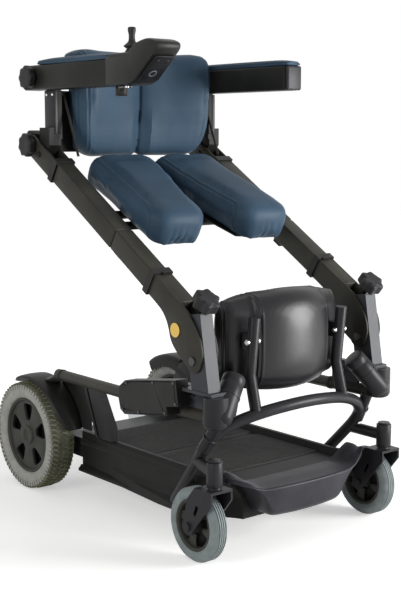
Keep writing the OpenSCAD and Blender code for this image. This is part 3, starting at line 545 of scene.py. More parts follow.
def seatLocal(piece):  # a piece's points in seat millimetres
    return (coords(piece) - np.array(seatFrame.translation)) @ np.array(seatFrame.to_3x3()) * 1000


def seatLine(side, edge, rows, degrees):  # a line along the outer (1) or inner (-1) edge
    line = [seatRing(y, np.array([turn if edge == 1 else math.pi - turn]), 0)[0]
            for y, turn in zip(rows, np.radians(degrees))]
    return resample(seatPlace(side, np.array(line)), 5)


def seatCushion(side, label):
    rows = seat["length"] * (0.5 - 0.5 * np.cos(np.linspace(0.06, math.pi - 0.06, seat["rows"])))
    rings = [seatPlace(side, seatRing(y, fullTurn(seat["around"]), seat["inset"])) for y in rows]
    piece = puff(loft("thigh_cushion_" + label, rings, finish["blue"]), 5, 4, 6)
    x, y, z = seatLocal(piece).T
    rear = smoothStep(seat["holdFrom"], seat["holdTo"], y)
    rear = rear * smoothStep(6, 16, z) * smoothStep(8, 24, x * side)
    heldInside(piece, "seat_cushion_" + label, rear)
    rows = np.linspace(*seat["seamRows"])
    turns = seat["seamAngle"] - 95 * smoothStep(70, 8, rows)  # the seam drops round the front end
    for edge in (1, -1):
        sewSeam(piece, onSurface(piece, seatLine(side, edge, rows, turns), 0), 2.6, 1.8, 0.9)
    gather(piece, side)
    threads = []
    rows = np.linspace(*seat["threadRows"])
    for edge in (1, -1):
        line = seatLine(side, edge, rows, np.full_like(rows, seat["threadAngle"]))
        threads.append(stitches("seatThread", onSurface(piece, line, 0.1)))
    thread = joined("seat_stitching_" + label, threads)
    settle(piece, "seat_carriage", "blue_vinyl", "seat_cushion_" + label)
    settle(thread, "seat_carriage", "blue_vinyl")


def gather(piece, side):  # the cover is pulled in round the front end, so it creases there
    x, y, z = seatLocal(piece).T
    middle = (x * side - 142) / 85
    mask = smoothStep(36, 4, y) * smoothStep(2, 16, z) * smoothStep(70, 34, z) * (np.abs(middle) < 1.2)
    uneven = 0.55 + 0.45 * np.sin(5.1 * middle + 0.7)
    wave = np.sin(seat["gathers"] * math.pi * middle + 1.6 * np.sin(3.7 * middle + side) + 0.03 * z)
    lift = -seat["gatherMm"] * mask * uneven * (0.5 - 0.5 * wave) ** 2
    setCoords(piece, coords(piece) + normals(piece) * (lift / 1000)[:, None])


# Back: two bulging halves that meet in a channel, wings forward at the sides
back = {"half": 230, "thick": 104, "tall": 296, "plane": 342, "foot": 922, "inset": 2, "across": 110,
        "around": 60, "panelSeam": 0.9, "bandSeam": 0.985, "holdTop": 1075, "holdFull": 1004}


def backRing(x, angles, inset):
    k = abs(x) / back["half"]
    bulge = np.sqrt(1 - (1 - min(k / 0.3, 1)) ** 2)
    deep = back["thick"] * (0.30 + 0.28 * bulge + 0.42 * smoothStep(0.1, 0.95, k))
    deep = deep * (0.42 + 0.58 * dome(max(0, (k - 0.86) / 0.14), 2.2)) - inset
    corner = max(0, (k - 0.72) / 0.28) ** 2.4
    c, s = np.cos(angles), np.sin(angles)
    lost = 0.05 * smoothStep(0.1, 0, k) + np.where(s > 0, 0.13, 0.2) * corner
    half = back["tall"] / 2 * (1 - lost) - inset
    y = back["plane"] - 1 + deep * (0.86 + 0.14 * s) * signedPower(c, 0.42)
    z = half * signedPower(s, 0.62)
    down = 0.5 - z / back["tall"]
    narrow = 1 - 0.05 * down - 0.09 * np.maximum(0, (down - 0.62) / 0.38) ** 2  # the back tapers to its foot
    return np.array([at(x * n, a, b + back["foot"] + back["tall"] / 2) for n, a, b in zip(narrow, y, z)])


def backCushion():
    angles = np.linspace(math.pi / 2, 3 * math.pi / 2, back["around"])
    share = np.sin(np.linspace(-math.pi / 2, math.pi / 2, back["across"]))
    rings = [backRing(x, angles, back["inset"]) for x in share * (back["half"] - back["inset"])]
    piece = puff(loft("back_upholstery", rings, finish["blue"]), 5, 4, 7)
    height = coords(piece)[:, 2] * 1000
    heldInside(piece, "back_cushion", smoothStep(back["holdTop"], back["holdFull"], height))
    front = np.linspace(math.pi * 0.56, math.pi * 1.46, 60)
    threads = []
    seams = [(0.0, 3.0, 7.0, 0.0)] + [(s * k * back["half"], 2.4, 1.6, 0.9) for s in (1, -1)
                                      for k in (back["panelSeam"], back["bandSeam"])]
    for x, width, depth, welt in seams:
        seam = onSurface(piece, resample(backRing(x, front, 0), 5), 0)
        sewSeam(piece, seam, width, depth, welt)
    for s in (1, -1):
        line = backRing(s * (back["panelSeam"] - 0.035) * back["half"], front, 0)
        threads.append(stitches("backThread", onSurface(piece, resample(line, 5), 0.1)))
    settle(piece, "backrest", "blue_vinyl", "back_cushion")
    settle(joined("back_stitching", threads), "backrest", "blue_vinyl")


# Armrest pads: thin foam under vinyl with a welt round the lower edge
padSize = {"around": 48, "rows": 60, "inset": 1.0,
           "welt": ((-0.86, -0.97), (0.86, -0.97), (0.98, -0.9), (0.98, 0.9), (0.86, 0.97), (-0.86, 0.97),
                    (-0.98, 0.9), (-0.98, -0.9), (-0.86, -0.97))}


def armrestPad(label, body):
    low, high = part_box("armrest_pad_" + label)
    centre = (low + high) / 2
    halfWide, halfLong = (high.x - low.x) / 2, (high.y - low.y) / 2
    tall = high.z - low.z
    inset = padSize["inset"] / 1000
    angles = fullTurn(padSize["around"])
    rings = []
    for k in np.sin(np.linspace(-math.pi / 2, math.pi / 2, padSize["rows"])):
        full = dome(k, 7)
        crown = 1 + 0.10 * (1 - k * k)
        wide = (halfWide - inset) * (0.75 + 0.25 * full)
        x = centre.x + wide * signedPower(np.cos(angles), 0.6)
        up = (tall - inset) * (0.4 + 0.6 * full) * (0.35 + 0.65 * signedPower(np.sin(angles), 0.7) * crown)
        y = np.full_like(x, centre.y + k * (halfLong - inset))
        rings.append(np.stack([x, y, low.z + np.maximum(0, up)], 1))
    piece = puff(loft("forearm_pad_" + label, rings, finish["blue"]), 4, 3, 3)
    points = coords(piece)
    points[:, 2] = np.maximum(points[:, 2], low.z + 0.0002)
    setCoords(piece, points)
    rim = [(centre.x + a * halfWide, centre.y + b * halfLong, low.z + 0.45 * tall)
           for a, b in padSize["welt"]]
    sewSeam(piece, onSurface(piece, resample(rim, 4), 0), 1.8, 1.2, 0.6)
    settle(piece, body, "blue_vinyl", "armrest_pad_" + label)


# Knee pad: a barrel of foam under black vinyl, a convex front panel between two arched seams
knee = {"half": 200, "front": -349, "panel": 112, "bulge": 25, "flat": -308.5, "lean": 15, "seat": -306.8,
        "flatIn": 120, "flatOut": 166, "rear": -223, "middle": 497, "tall": 127, "arch": 26, "across": 120,
        "around": 84, "inset": 2.0,
        "seams": ((111, 0.58, 2.4, 1.6, 1.0), (186, 0.7, 2.2, 1.4, 0.8))}  # place, wrap, width, depth, welt


def kneeFront(x):
    a = abs(x)
    if a <= knee["panel"]:
        return knee["front"] + knee["bulge"] * (a / knee["panel"]) ** 2
    step = smoothStep(knee["panel"], knee["flatIn"], a)
    edge = knee["front"] + knee["bulge"]
    inner = edge + (knee["flat"] - edge) * step
    flatIn, flatOut = knee["flatIn"], knee["flatOut"]
    lean = knee["lean"] * max(0, (a - flatIn) / (flatOut - flatIn))  # the lobes turn away
    return inner + lean + 36 * max(0, (a - flatOut) / (knee["half"] - flatOut)) ** 2


def kneeRing(x, angles, inset):
    end = smoothStep(150, 200, abs(x))
    front = kneeFront(x) + inset
    rear = knee["rear"] - 16 * end - 5 * (x / knee["half"]) ** 2 - inset
    half = knee["tall"] - knee["arch"] * (x / knee["half"]) ** 2 - 26 * smoothStep(184, 200, abs(x)) - inset
    c, s = np.cos(angles), np.sin(angles)
    y = (front + rear) / 2 + (rear - front) / 2 * signedPower(c, 0.7)
    z = knee["middle"] + half * signedPower(s, 0.58)
    return np.array([at(x, a, b) for a, b in zip(y, z)])


def kneePad():
    share = np.sin(np.linspace(-math.pi / 2, math.pi / 2, knee["across"]))
    turns, inset = fullTurn(knee["around"]), knee["inset"]
    rings = [kneeRing(x, turns, inset) for x in share * (knee["half"] - inset)]
    piece = puff(loft("knee_bolster", rings, finish["blackVinyl"]), 5, 3, 3)
    points = coords(piece)
    x, flat = np.abs(points[:, 0]) * 1000, at(0, knee["seat"], 0).y
    behind = (x > knee["flatIn"] - 1) & (x < knee["flatOut"])
    points[behind, 1] = np.maximum(points[behind, 1], flat)  # clear of the uprights' plates
    setCoords(piece, points)
    for s in (1, -1):
        for x, wrap, width, depth, welt in knee["seams"]:
            turns = np.linspace(math.pi * (1 - wrap), math.pi * (1 + wrap), 80)
            seam = onSurface(piece, resample(kneeRing(s * x, turns, 0), 4), 0)
            sewSeam(piece, seam, width, depth, welt)
    settle(piece, "base", "black_vinyl", "knee_pad")


for side, label in ((-1, "right"), (1, "left")):
    seatCushion(side, label)
    armrestPad(label, "armrest_" + label)
backCushion()
kneePad()
print("upholstery made")

# Wheels
driveTyre = {"radius": 152, "crown": 147.5, "wide": 72, "bead": 105, "x": 262, "y": 456, "turns": 144,
             "lugs": 66}
lugRows = (  # place across the tread, phase, skew, depth below the radius, lug size, finish
    (-0.36, 0.0, 0.35, 6.2, (8.5, 6, 15.5), "tread"), (-0.13, 0.5, -0.35, 4.2, (8.5, 6.8, 15.5), "tread"),
    (0.13, 0.0, 0.35, 4.2, (8.5, 6.8, 15.5), "tread"), (0.36, 0.5, -0.35, 6.2, (8.5, 6, 15.5), "tread"),
    (0.47, 0.25, 0.0, 15, (8, 12, 6), "tyre"), (-0.47, 0.25, 0.0, 15, (8, 12, 6), "tyre"))
casterTyre = {"radius": 89, "wide": 42, "bead": 62, "x": 284, "y": -302, "turns": 128,
              "grooves": (-9, -3, 3, 9)}


def revolve(name, profile, turns, centre, material, axis="X"):  # a closed loop of (radius, along) in mm
    profile = np.asarray(profile, float) / 1000
    rings = []
    for a in fullTurn(turns):
        r, w = profile[:, 0], profile[:, 1]
        if axis == "X":
            rings.append(np.stack([w, r * math.cos(a), r * math.sin(a)], 1))
        else:
            rings.append(np.stack([r * math.cos(a), r * math.sin(a), w], 1))
    rings = np.array(rings) + np.array(centre)
    count, around = rings.shape[:2]
    faces = [(i * around + j, i * around + (j + 1) % around, (i + 1) % count * around + (j + 1) % around,
              (i + 1) % count * around + j) for i in range(count) for j in range(around)]
    return buildMesh(name, rings.reshape(-1, 3), faces, material)


def arcPoints(centre, radius, start, end, steps):  # degrees, in any plane
    return [(centre[0] + radius * math.cos(math.radians(a)), centre[1] + radius * math.sin(math.radians(a)))
            for a in np.linspace(start, end, steps)]


def lugTree():
    tree, ids, given = nodeTree("lugRing", {"Count": "Int", "Radius": "Float", "Along": "Float",
                                            "Phase": "Float", "Skew": "Float", "Lug": "Vector",
                                            "Centre": "Vector", "Material": "Material"})
    circle = addNode(tree, "GeometryNodeCurvePrimitiveCircle", {"Resolution": given["Count"],
                                                                "Radius": given["Radius"]}, mode="RADIUS")
    spots = addNode(tree, "GeometryNodeCurveToPoints", {"Curve": circle.outputs["Curve"],
                                                        "Count": given["Count"]}, mode="COUNT")
    tangent = addNode(tree, "FunctionNodeAlignEulerToVector", {"Vector": spots.outputs["Tangent"]},
                      axis="X", pivot_axis="Z")
    lug = addNode(tree, "GeometryNodeMeshCube", {"Size": given["Lug"]})
    ring = addNode(tree, "GeometryNodeInstanceOnPoints", {"Points": spots.outputs["Points"],
                                                          "Instance": lug.outputs["Mesh"],
                                                          "Rotation": tangent.outputs["Rotation"]})
    lean = addNode(tree, "ShaderNodeCombineXYZ", {"Y": given["Skew"]})
    skewed = addNode(tree, "GeometryNodeRotateInstances", {"Instances": ring.outputs[0],
                                                           "Rotation": lean.outputs[0]})
    turn = addNode(tree, "ShaderNodeCombineXYZ", {"Z": given["Phase"]})
    shift = addNode(tree, "ShaderNodeCombineXYZ", {"Z": given["Along"]})
    turned = addNode(tree, "GeometryNodeTransform", {"Geometry": skewed.outputs[0],
                                                     "Rotation": turn.outputs[0],
                                                     "Translation": shift.outputs[0]})
    stood = addNode(tree, "GeometryNodeTransform", {"Geometry": turned.outputs[0],
                                                    "Translation": given["Centre"],
                                                    "Rotation": (0, math.pi / 2, 0)})
    closeTree(tree, stood.outputs[0], given["Material"])
    return tree, ids


lugGroup = lugTree()


def driveTyrePiece(side, label):
    t = driveTyre
    half, crown, bead = t["wide"] / 2, t["crown"], t["bead"]
    wall = [(bead, half - 9), (bead + 5, half - 3), (bead + 14, half - 0.5), (bead + 22, half),
            (crown - 16, half - 0.5), (crown - 8, half - 4), (crown - 3, half - 9), (crown - 0.6, half - 18),
            (crown, 0)]
    profile = [(r, -w) for r, w in wall] + [(r, w) for r, w in reversed(wall[:-1])]
    centre = at(side * t["x"], t["y"], t["radius"])
    parts = [revolve("tyreBody", profile, t["turns"], centre, finish["tyre"])]
    for along, phase, skew, depth, size, coat in lugRows:
        parts.append(runTree("lugRow", lugGroup, {
            "Count": t["lugs"], "Radius": (t["radius"] - depth) / 1000, "Along": along * t["wide"] / 1000,
            "Phase": phase * 2 * math.pi / t["lugs"], "Skew": skew, "Lug": tuple(v / 1000 for v in size),
            "Centre": centre, "Material": finish[coat]}))
    settle(joined("lug_tyre_" + label, parts), "drive_wheel_" + label, "grey_tyre", "drive_tyre_" + label)


def casterTyrePiece(side, label):
    t = casterTyre
    half, r = t["wide"] / 2, t["radius"]
    wall = [(t["bead"], -half + 3), (t["bead"] + 4, -half + 0.6), (r - 18, -half), (r - 10, -half + 1.4),
            (r - 4.5, -half + 5), (r - 1.2, -half + 9.5)]
    tread = []
    for g in t["grooves"]:
        tread += [(r - 0.35, g - 1.6), (r - 2.6, g - 0.9), (r - 2.6, g + 0.9), (r - 0.35, g + 1.6)]
    profile = wall + tread + [(a, -b) for a, b in reversed(wall)]
    centre = at(side * t["x"], t["y"], r)
    piece = revolve("grooved_tyre_" + label, profile, t["turns"], centre, finish["casterTyre"])
    settle(sharpened(piece, 50), "caster_wheel_" + label, "grey_tyre", "caster_tyre_" + label)


# Rims: moulded dish with rounded windows between the spokes, and a near-black web inside that paints the
# shade seen through the windows
driveRim = {"radius": 105, "barrel": 28, "face": 22, "plate": 8, "windows": 5, "inner": 45, "outer": 83,
            "narrow": 10, "wide": 22, "web": (2, -2), "rearPlate": False,
            "hub": ((0.3, -105.8), (9.9, -105.8), (9.9, -34), (29, -34), (29, 12), (27, 22.5), (25, 25.5),
                    (21, 26.6), (18, 26.8), (17, 24.5), (15.5, 24.3), (0.3, 24.8))}
casterRim = {"radius": 62, "barrel": 18, "face": 9, "plate": 5, "windows": 6, "inner": 27, "outer": 50,
             "narrow": 5, "wide": 11, "web": (-1, 1), "rearPlate": True,
             "hub": ((6.4, -26.5), (17, -26.5), (18, -25), (18, 25), (17, 26.5), (6.4, 26.5))}


def windowLoop(r, turn):  # a rounded window between two spokes
    inner, outer, narrow, wide = r["inner"], r["outer"], r["narrow"], r["wide"]
    corners = [(inner, -narrow), (outer, -wide), (outer + 5, 0), (outer, wide), (inner, narrow),
               (inner - 3, 0)]
    loop = curveThrough(corners + corners[:1], 5)[:-1]
    c, s = math.cos(turn), math.sin(turn)
    return [(a * c - b * s, a * s + b * c) for a, b in loop]


def spokedPlate(r, material):
    work = bmesh.new()
    loops = [arcPoints((0, 0), r["radius"] - 7, 0, 360, 97)[:-1]]
    loops += [windowLoop(r, 2 * math.pi * (i + 0.25) / r["windows"]) for i in range(r["windows"])]
    edges = []
    for loop in loops:
        ring = [work.verts.new((0, a / 1000, b / 1000)) for a, b in loop]
        edges += [work.edges.new((ring[i - 1], ring[i])) for i in range(len(ring))]
    bmesh.ops.triangle_fill(work, use_beauty=True, edges=edges)
    fresh = bmesh.ops.extrude_face_region(work, geom=work.faces[:])["geom"]
    for vert in fresh:
        if isinstance(vert, bmesh.types.BMVert):
            vert.co.x += r["plate"] / 1000
    mesh = bpy.data.meshes.new("spokes")
    work.to_mesh(mesh)
    work.free()
    mesh.materials.append(material)
    return softEdges(turnedOut(linked("spokes", mesh), True), 1.6, 2, 50)


def rimPiece(name, r, side, centre):
    b, f, q = r["barrel"], r["face"], r["radius"]
    coat = finish["rimPlastic"]
    barrel = [(q - 0.3, -b), (q - 0.3, b), (q - 2, b + 1), (q - 5, b + 0.6), (q - 8, b - 3), (q - 9, f - 2),
              (q - 9, -b + 4), (q - 6, -b)]
    parts = [revolve("barrel", barrel, 96, (0, 0, 0), coat)]
    for shift in (f - r["plate"], -f) if r["rearPlate"] else (f - r["plate"],):
        plate = spokedPlate(r, coat)
        plate.data.transform(Matrix.Translation((shift / 1000, 0, 0)))
        parts.append(plate)
    # the web is a near-black disc that paints the shade seen through the spoke windows
    rear, front = r["web"]
    web = [(0.3, rear), (q - 9, rear), (q - 9, front), (0.3, front)]
    parts.append(revolve("web", web, 72, (0, 0, 0), finish["rimShade"]))
    parts.append(revolve("hub", r["hub"], 48, (0, 0, 0), coat))
    piece = joined(name, parts)
    piece.data.transform(Matrix.Translation(centre) @ sideOf(side))
    return turnedOut(piece)


def rims(side, label):
    for name, node, body, rim, t in (
            ("spoked_rim_", "drive_rim_", "drive_wheel_", driveRim, driveTyre),
            ("caster_wheel_rim_", "caster_rim_", "caster_wheel_", casterRim, casterTyre)):
        piece = rimPiece(name + label, rim, side, at(side * t["x"], t["y"], t["radius"]))
        settle(piece, body + label, "black_plastic", node + label)


# Front hoop: one bent tube over the deck that turns down into each leg, with a stub up to each gear housing
hoop = {"tube": 14.3, "stub": 15, "around": 28,
        "path": ((0, -366, 352), (60, -363, 349.5), (120, -353, 342), (170, -339, 330.5), (205, -327, 318),
                 (232, -316, 302), (250, -303, 280), (256, -280, 249), (250, -245, 209), (240, -192, 151),
                 (228, -143, 98)),
        "stubPath": ((245, -337, 334), (250, -322, 310), (257, -303, 280), (262, -288, 256)),
        "ring": ((14, -3), (17, -3), (18, -2), (18, 2), (17, 3), (14, 3))}


def tubeAlong(name, path, radius, material):
    line = np.array([at(*p) for p in curveThrough(path, 8)])
    ahead = np.gradient(line, axis=0)
    ahead /= np.linalg.norm(ahead, axis=1, keepdims=True)
    side = np.cross(ahead, (0.0, 0.31, 0.95))
    side /= np.linalg.norm(side, axis=1, keepdims=True)
    up = np.cross(side, ahead)
    turn = fullTurn(hoop["around"])[:, None]
    rings = [p + radius / 1000 * (np.cos(turn) * a + np.sin(turn) * b) for p, a, b in zip(line, side, up)]
    return loft(name, rings, material)


def pointing(a, b):  # turns Z to run from a to b
    return (b - a).to_track_quat("Z", "Y").to_matrix().to_4x4()


def frontHoop():
    coat = finish["satinBlack"]
    right = [(-x, y, z) for x, y, z in reversed(hoop["path"][1:])]
    parts = [tubeAlong("bow", right + list(hoop["path"]), hoop["tube"], coat)]
    for side in (-1, 1):
        stub = [(side * x, y, z) for x, y, z in hoop["stubPath"]]
        parts.append(tubeAlong("stub", stub, hoop["stub"], coat))
        a, b = at(*stub[1]), at(*stub[2])
        ring = revolve("ring", hoop["ring"], 40, (0, 0, 0), coat, "Z")
        ring.data.transform(Matrix.Translation(a.lerp(b, 0.7)) @ pointing(a, b))
        parts.append(ring)
    settle(joined("bent_hoop", parts), "base", "satin_black_paint", "front_hoop")


# Square tube, plates and other pressed or welded shapes


def softEdges(piece, widthMm, segments=3, angle=30):
    work = bmesh.new()
    work.from_mesh(piece.data)
    sharp = [e for e in work.edges if len(e.link_faces) == 2 and e.calc_face_angle(0) > math.radians(angle)]
    bmesh.ops.bevel(work, geom=sharp, offset=widthMm / 1000, segments=segments, profile=0.5, affect="EDGES",
                    clamp_overlap=True)
    for face in work.faces:
        face.smooth = True
    work.to_mesh(piece.data)
    work.free()
    return sharpened(piece, 40)


def blockMm(name, low, high, place, material, edgeMm, segments=3):  # a box with rounded edges
    points = [place @ Vector([v / 1000 for v in (x, y, z)])
              for x in (low[0], high[0]) for y in (low[1], high[1]) for z in (low[2], high[2])]
    faces = [(0, 1, 3, 2), (4, 6, 7, 5), (0, 4, 5, 1), (2, 3, 7, 6), (0, 2, 6, 4), (1, 5, 7, 3)]
    return softEdges(buildMesh(name, points, faces, material), edgeMm, segments)


def platePiece(name, outline, x0, x1, place, material, edgeMm):  # a local YZ outline, given thickness
    n = len(outline)
    points = [place @ Vector((x / 1000, a / 1000, b / 1000)) for x in (x0, x1) for a, b in outline]
    faces = [tuple(range(n)), tuple(range(2 * n - 1, n - 1, -1))]
    faces += [(i, n + i, n + (i + 1) % n, (i + 1) % n) for i in range(n)]
    return softEdges(buildMesh(name, points, faces, material), edgeMm, 2, 50)


def curveThrough(points, steps=6):  # a smooth open curve through given points
    points = np.asarray(points, float)
    padded = np.vstack([2 * points[0] - points[1], points, 2 * points[-1] - points[-2]])
    out = []
    for i in range(1, len(padded) - 2):
        p0, p1, p2, p3 = padded[i - 1:i + 3]
        for t in np.linspace(0, 1, steps, endpoint=False):
            out.append(0.5 * ((2 * p1) + (p2 - p0) * t + (2 * p0 - 5 * p1 + 4 * p2 - p3) * t ** 2
                              + (3 * p1 - p0 - 3 * p2 + p3) * t ** 3))
    out.append(points[-1])
    return [tuple(p) for p in out]


# Lift arms: two gooseneck plates welded to square tube; the upper arm slides in its end
arm = {"pivotY": -297.5, "pivotZ": 474.5, "slope": 31.3, "inner": 247, "outer": 297, "plate": 6, "low": 30.5,
       "high": 85.5, "seam": 402, "end": 727, "edge": 4}
armFrame = (Matrix.Translation(at(0, arm["pivotY"], arm["pivotZ"]))
            @ Matrix.Rotation(math.radians(arm["slope"]), 4, "X"))


def sideOf(side):
    return Matrix.Scale(side, 4, (1, 0, 0))


def gooseneckOutline():
    foot = arcPoints((0, 0), 28, 159, 300, 12)
    low, high = arm["low"], arm["high"]
    under = [(44, -22.5), (74, -17), (94, -8), (111, 7), (130, 20), (154, 28.5), (185, low)]
    over = [(112, high), (76, high - 1.5), (52, 79), (28, 70), (4, 55.5), (-17, 34), (-25.5, 13)]
    lower = curveThrough(foot[-2:] + under, 5)[5:]
    return foot + lower + [(236, low), (236, high)] + curveThrough(over, 5)


def armBlock(name, inset, start, end, low, high, side, material, edgeMm):  # a block across the arm's width
    return blockMm(name, (arm["inner"] + inset, start, low), (arm["outer"] - inset, end, high),
                   sideOf(side) @ armFrame, material, edgeMm)


def armPlates(name, outline, side, edgeMm):  # the pair of side plates
    place, coat = sideOf(side) @ armFrame, finish["charcoal"]
    return [platePiece(name, outline, x, x + arm["plate"], place, coat, edgeMm)
            for x in (arm["inner"], arm["outer"] - arm["plate"])]


def liftArm(side, label):
    coat, low, high = finish["charcoal"], arm["low"], arm["high"]
    parts = armPlates("neck", gooseneckOutline(), side, 1.6)
    parts.append(armBlock("tube", 0.4, 112, arm["seam"], low + 0.4, high - 0.4, side, coat, arm["edge"]))
    parts.append(armBlock("stopBar", 1, 79, 89, -11, -1, side, coat, 4))
    piece = turnedOut(joined("gooseneck_arm_" + label, parts))
    settle(piece, "lift_arms", "charcoal_paint", "lift_arm_" + label)


def upperArm(side, label):
    coat, low, high = finish["charcoal"], arm["low"], arm["high"]
    parts = [armBlock("tube", 0, arm["seam"] + 1.6, arm["end"], low, high, side, coat, arm["edge"]),
             armBlock("slider", 5, 300, arm["seam"] + 6, low + 5, high - 5, side, finish["darkSteel"], 2),
             armBlock("endBlock", 0, 850, 878, low, high - 2, side, coat, 7)]
    outline = [(700, low), (862, low)] + arcPoints((840, high - 22), 22, 0, 90, 8) + [(700, high)]
    parts += armPlates("fork", outline, side, 1.5)
    piece = turnedOut(joined("telescopic_arm_" + label, parts))
    settle(piece, "seat_carriage", "charcoal_paint", "upper_arm_" + label)


# Armrests: box beams
beam = {"x": 260, "wide": 52, "low": 1105, "tall": 65, "back": 440, "knobY": 400, "frontRight": 45,
        "frontLeft": -28, "edge": 5}
level = Matrix.Translation(at(0, 0, 0))


def armrestBeam(side, label, front):
    low = (side * beam["x"] - beam["wide"] / 2, front, beam["low"])
    high = (side * beam["x"] + beam["wide"] / 2, beam["back"], beam["low"] + beam["tall"])
    piece = blockMm("box_beam_" + label, low, high, level, finish["beamBlack"], beam["edge"], 4)
    settle(piece, "armrest_" + label, "charcoal_paint", "armrest_beam_" + label)


# Lift gears: a round housing under each post and a motor that leans towards the middle
gear = {"x": 272, "y": -349, "low": 322, "top": 397.5, "radius": 30, "bend": 14, "from": (262, -357, 352),
        "to": (197, -328.5, 431)}


def gearMotors():
    coat = finish["satinBlack"]
    g, parts = gear, []
    for side in (-1, 1):
        r, bend, tall = g["radius"], g["bend"], g["top"] - g["low"]
        corner = [(r - bend + bend * math.sin(t), bend - bend * math.cos(t))
                  for t in np.linspace(0, math.pi / 2, 8)]
        profile = [(0.3, 0)] + corner + [(r, tall), (0.3, tall)]
        pot = revolve("pot", profile, 56, at(side * g["x"], g["y"], g["low"]), coat, "Z")
        a, b = (at(side * x, y, z) for x, y, z in (g["from"], g["to"]))
        long = (b - a).length * 1000
        profile = [(0.3, -22), (16, -21), (24, -15), (27.5, -5), (27.5, 50), (28.6, 51), (28.6, 55),
                   (27.5, 56), (27.5, long - 24), (26.9, long - 23), (26.9, long - 22), (27.5, long - 21),
                   (27.5, long - 4), (25.5, long - 0.8), (22, long), (0.3, long)]
        motor = sharpened(revolve("motor", profile, 56, (0, 0, 0), coat, "Z"), 35)
        motor.data.transform(Matrix.Translation(a) @ pointing(a, b))
        parts += [sharpened(pot, 50), motor]
    settle(joined("lift_motors", parts), "base", "satin_black_paint", "lift_gearmotors")


# Back uprights: an outer plate held by four bright screws, and behind it a darker sheet on the black inner
# upright's front that paints the shade there
upright = {"face": 270, "plate": 3, "front": 308, "back": 357.5, "low": 990, "top": 1102, "inner": 250.5,
           "screws": ((318, 1000), (346, 1000), (318, 1092), (346, 1092)),
           "head": ((0.3, -1), (4, -1), (4, 1.2), (3, 2.2), (0.3, 2.2))}


def uprightPlate(side, label):
    u = upright
    place = sideOf(side) @ level
    parts = [blockMm("plate", (u["face"] - 6, u["front"] - 1.5, u["low"]),
                     (u["face"] + u["plate"], u["back"], u["top"]), place, finish["satinBlack"], 1.2),
             # a sheet in the darker black paint over the inner upright's front: its own black paint,
             # deepened into painted shade behind the outer plate
             blockMm("shadeLiner", (u["inner"], u["front"] - 0.8, u["low"]),
                     (u["face"] - 6.2, u["front"] + 3, u["top"]), place, finish["frameBlack"], 0.5)]
    for y, z in u["screws"]:
        head = revolve("screw", u["head"], 20, (0, 0, 0), finish["zinc"])
        head.data.transform(place @ Matrix.Translation(Vector((u["face"] + u["plate"], y, z)) / 1000))
        parts.append(head)
    settle(turnedOut(joined("upright_plate_" + label, parts)), "backrest", "satin_black_paint")


# Left beam's end: a moulded cap with a soft front edge


def endCap():
    x, z, coat = beam["x"], beam["low"], finish["capPlastic"]
    parts = [blockMm("capFace", (x - 25.8, -41, z + 0.2), (x + 25.8, -29, z + 64.8), level, coat, 5.5, 4),
             blockMm("capPlug", (x - 21, -30, z + 4.5), (x + 21, -9, z + 60.5), level, coat, 1.5)]
    settle(joined("beam_end_cap", parts), "armrest_left", "grey_plastic", "armrest_end_cap")


# Nose of the deck: bowed front with a rolled lip, ears beside the casters
nose = {"rear": -300, "half": 227, "floor": 165, "stations": 97, "lipMm": 5, "chinMm": 22, "rake": 10,
        "frontX": (0, 40, 110, 166, 196, 216, 227), "frontY": (-388.5, -388, -383, -373, -361, -348, -338),
        "topX": (0, 118, 150, 184, 206, 220, 227), "topZ": (0, 0, 5, 26, 37, 35, 29),
        "lowX": (0, 60, 110, 128, 146, 176, 206, 227), "lowZ": (82, 83, 88, 112, 146, 174, 188, 193)}


def smoothTable(a, xs, values):  # value at a on a smooth curve through the table
    curve = np.array(curveThrough(list(zip(xs, values)), 10))
    return np.interp(a, curve[:, 0], curve[:, 1])


def noseSection(x):
    a, rear, lipMm = abs(x), nose["rear"], nose["lipMm"]
    front = smoothTable(a, nose["frontX"], nose["frontY"])
    ear = max(0, smoothTable(a, nose["topX"], nose["topZ"]))
    low = smoothTable(a, nose["lowX"], nose["lowZ"])
    ys = np.linspace(rear, front + lipMm, 16)
    crest = nose["floor"] + ear * (0.5 + 0.5 * smoothStep(rear - 56, rear - 12, ys))
    crest = crest - 3 * smoothStep(rear - 30, rear - 80, ys)
    top = crest[-1]
    rolled = [(front + lipMm - lipMm * math.sin(t), top - lipMm + lipMm * math.cos(t))
              for t in np.linspace(0.3, math.pi / 2, 6)]
    chin = max(2, min(nose["chinMm"], (top - lipMm - low) * 0.45))
    rake = nose["rake"] * (top - low) / 84
    down = [(front + rake + chin - chin * math.cos(t), low + chin - chin * math.sin(t))
            for t in np.linspace(0, math.pi / 2, 10)]
    under = [(y, low) for y in np.linspace(down[-1][0], rear, 8)[1:]]
    return list(zip(ys, crest)) + rolled + down + under


def nosePiece():
    xs = nose["half"] * np.sin(np.linspace(-1, 1, nose["stations"]) * math.pi / 2)
    rings = [[at(x, y, z) for y, z in noseSection(x)] for x in xs]
    piece = sharpened(loft("deck_nose", rings, finish["nosePlastic"]), 55)
    settle(piece, "base", "black_plastic", "nose_bumper")


# Deck sides: a rolled lip along the bottom edge and a soft bead under the sill
lip = {"side": 212, "low": 70, "front": -196, "back": 299, "round": 14,
       "bottom": ((-3, 0), (5, 0), (8.5, 2), (9.5, 6), (8, 10), (4, 12.5), (0.5, 18), (-3, 18)),
       "bead": ((-3, 76), (-0.5, 77), (1.4, 81), (1.4, 88), (-0.5, 92), (-3, 93))}


def deckLips():
    rows = list(lip["front"] + lip["round"] * (1 - np.cos(np.linspace(0, math.pi / 2, 6)))) + [lip["back"]]
    parts = []
    for side in (-1, 1):
        for outline in (lip["bottom"], lip["bead"]):
            rings = []
            for k, y in enumerate(rows):
                grow = math.sin(min(k, 5) / 5 * math.pi / 2)  # rounded off at the front end
                rings.append([at(side * (lip["side"] + (x * grow if x > 0 else x)), y, lip["low"] + z)
                              for x, z in outline])
            parts.append(sharpened(loft("lip", rings, finish["deckPlastic"]), 60))
    settle(turnedOut(joined("deck_side_lips", parts)), "base", "black_plastic")


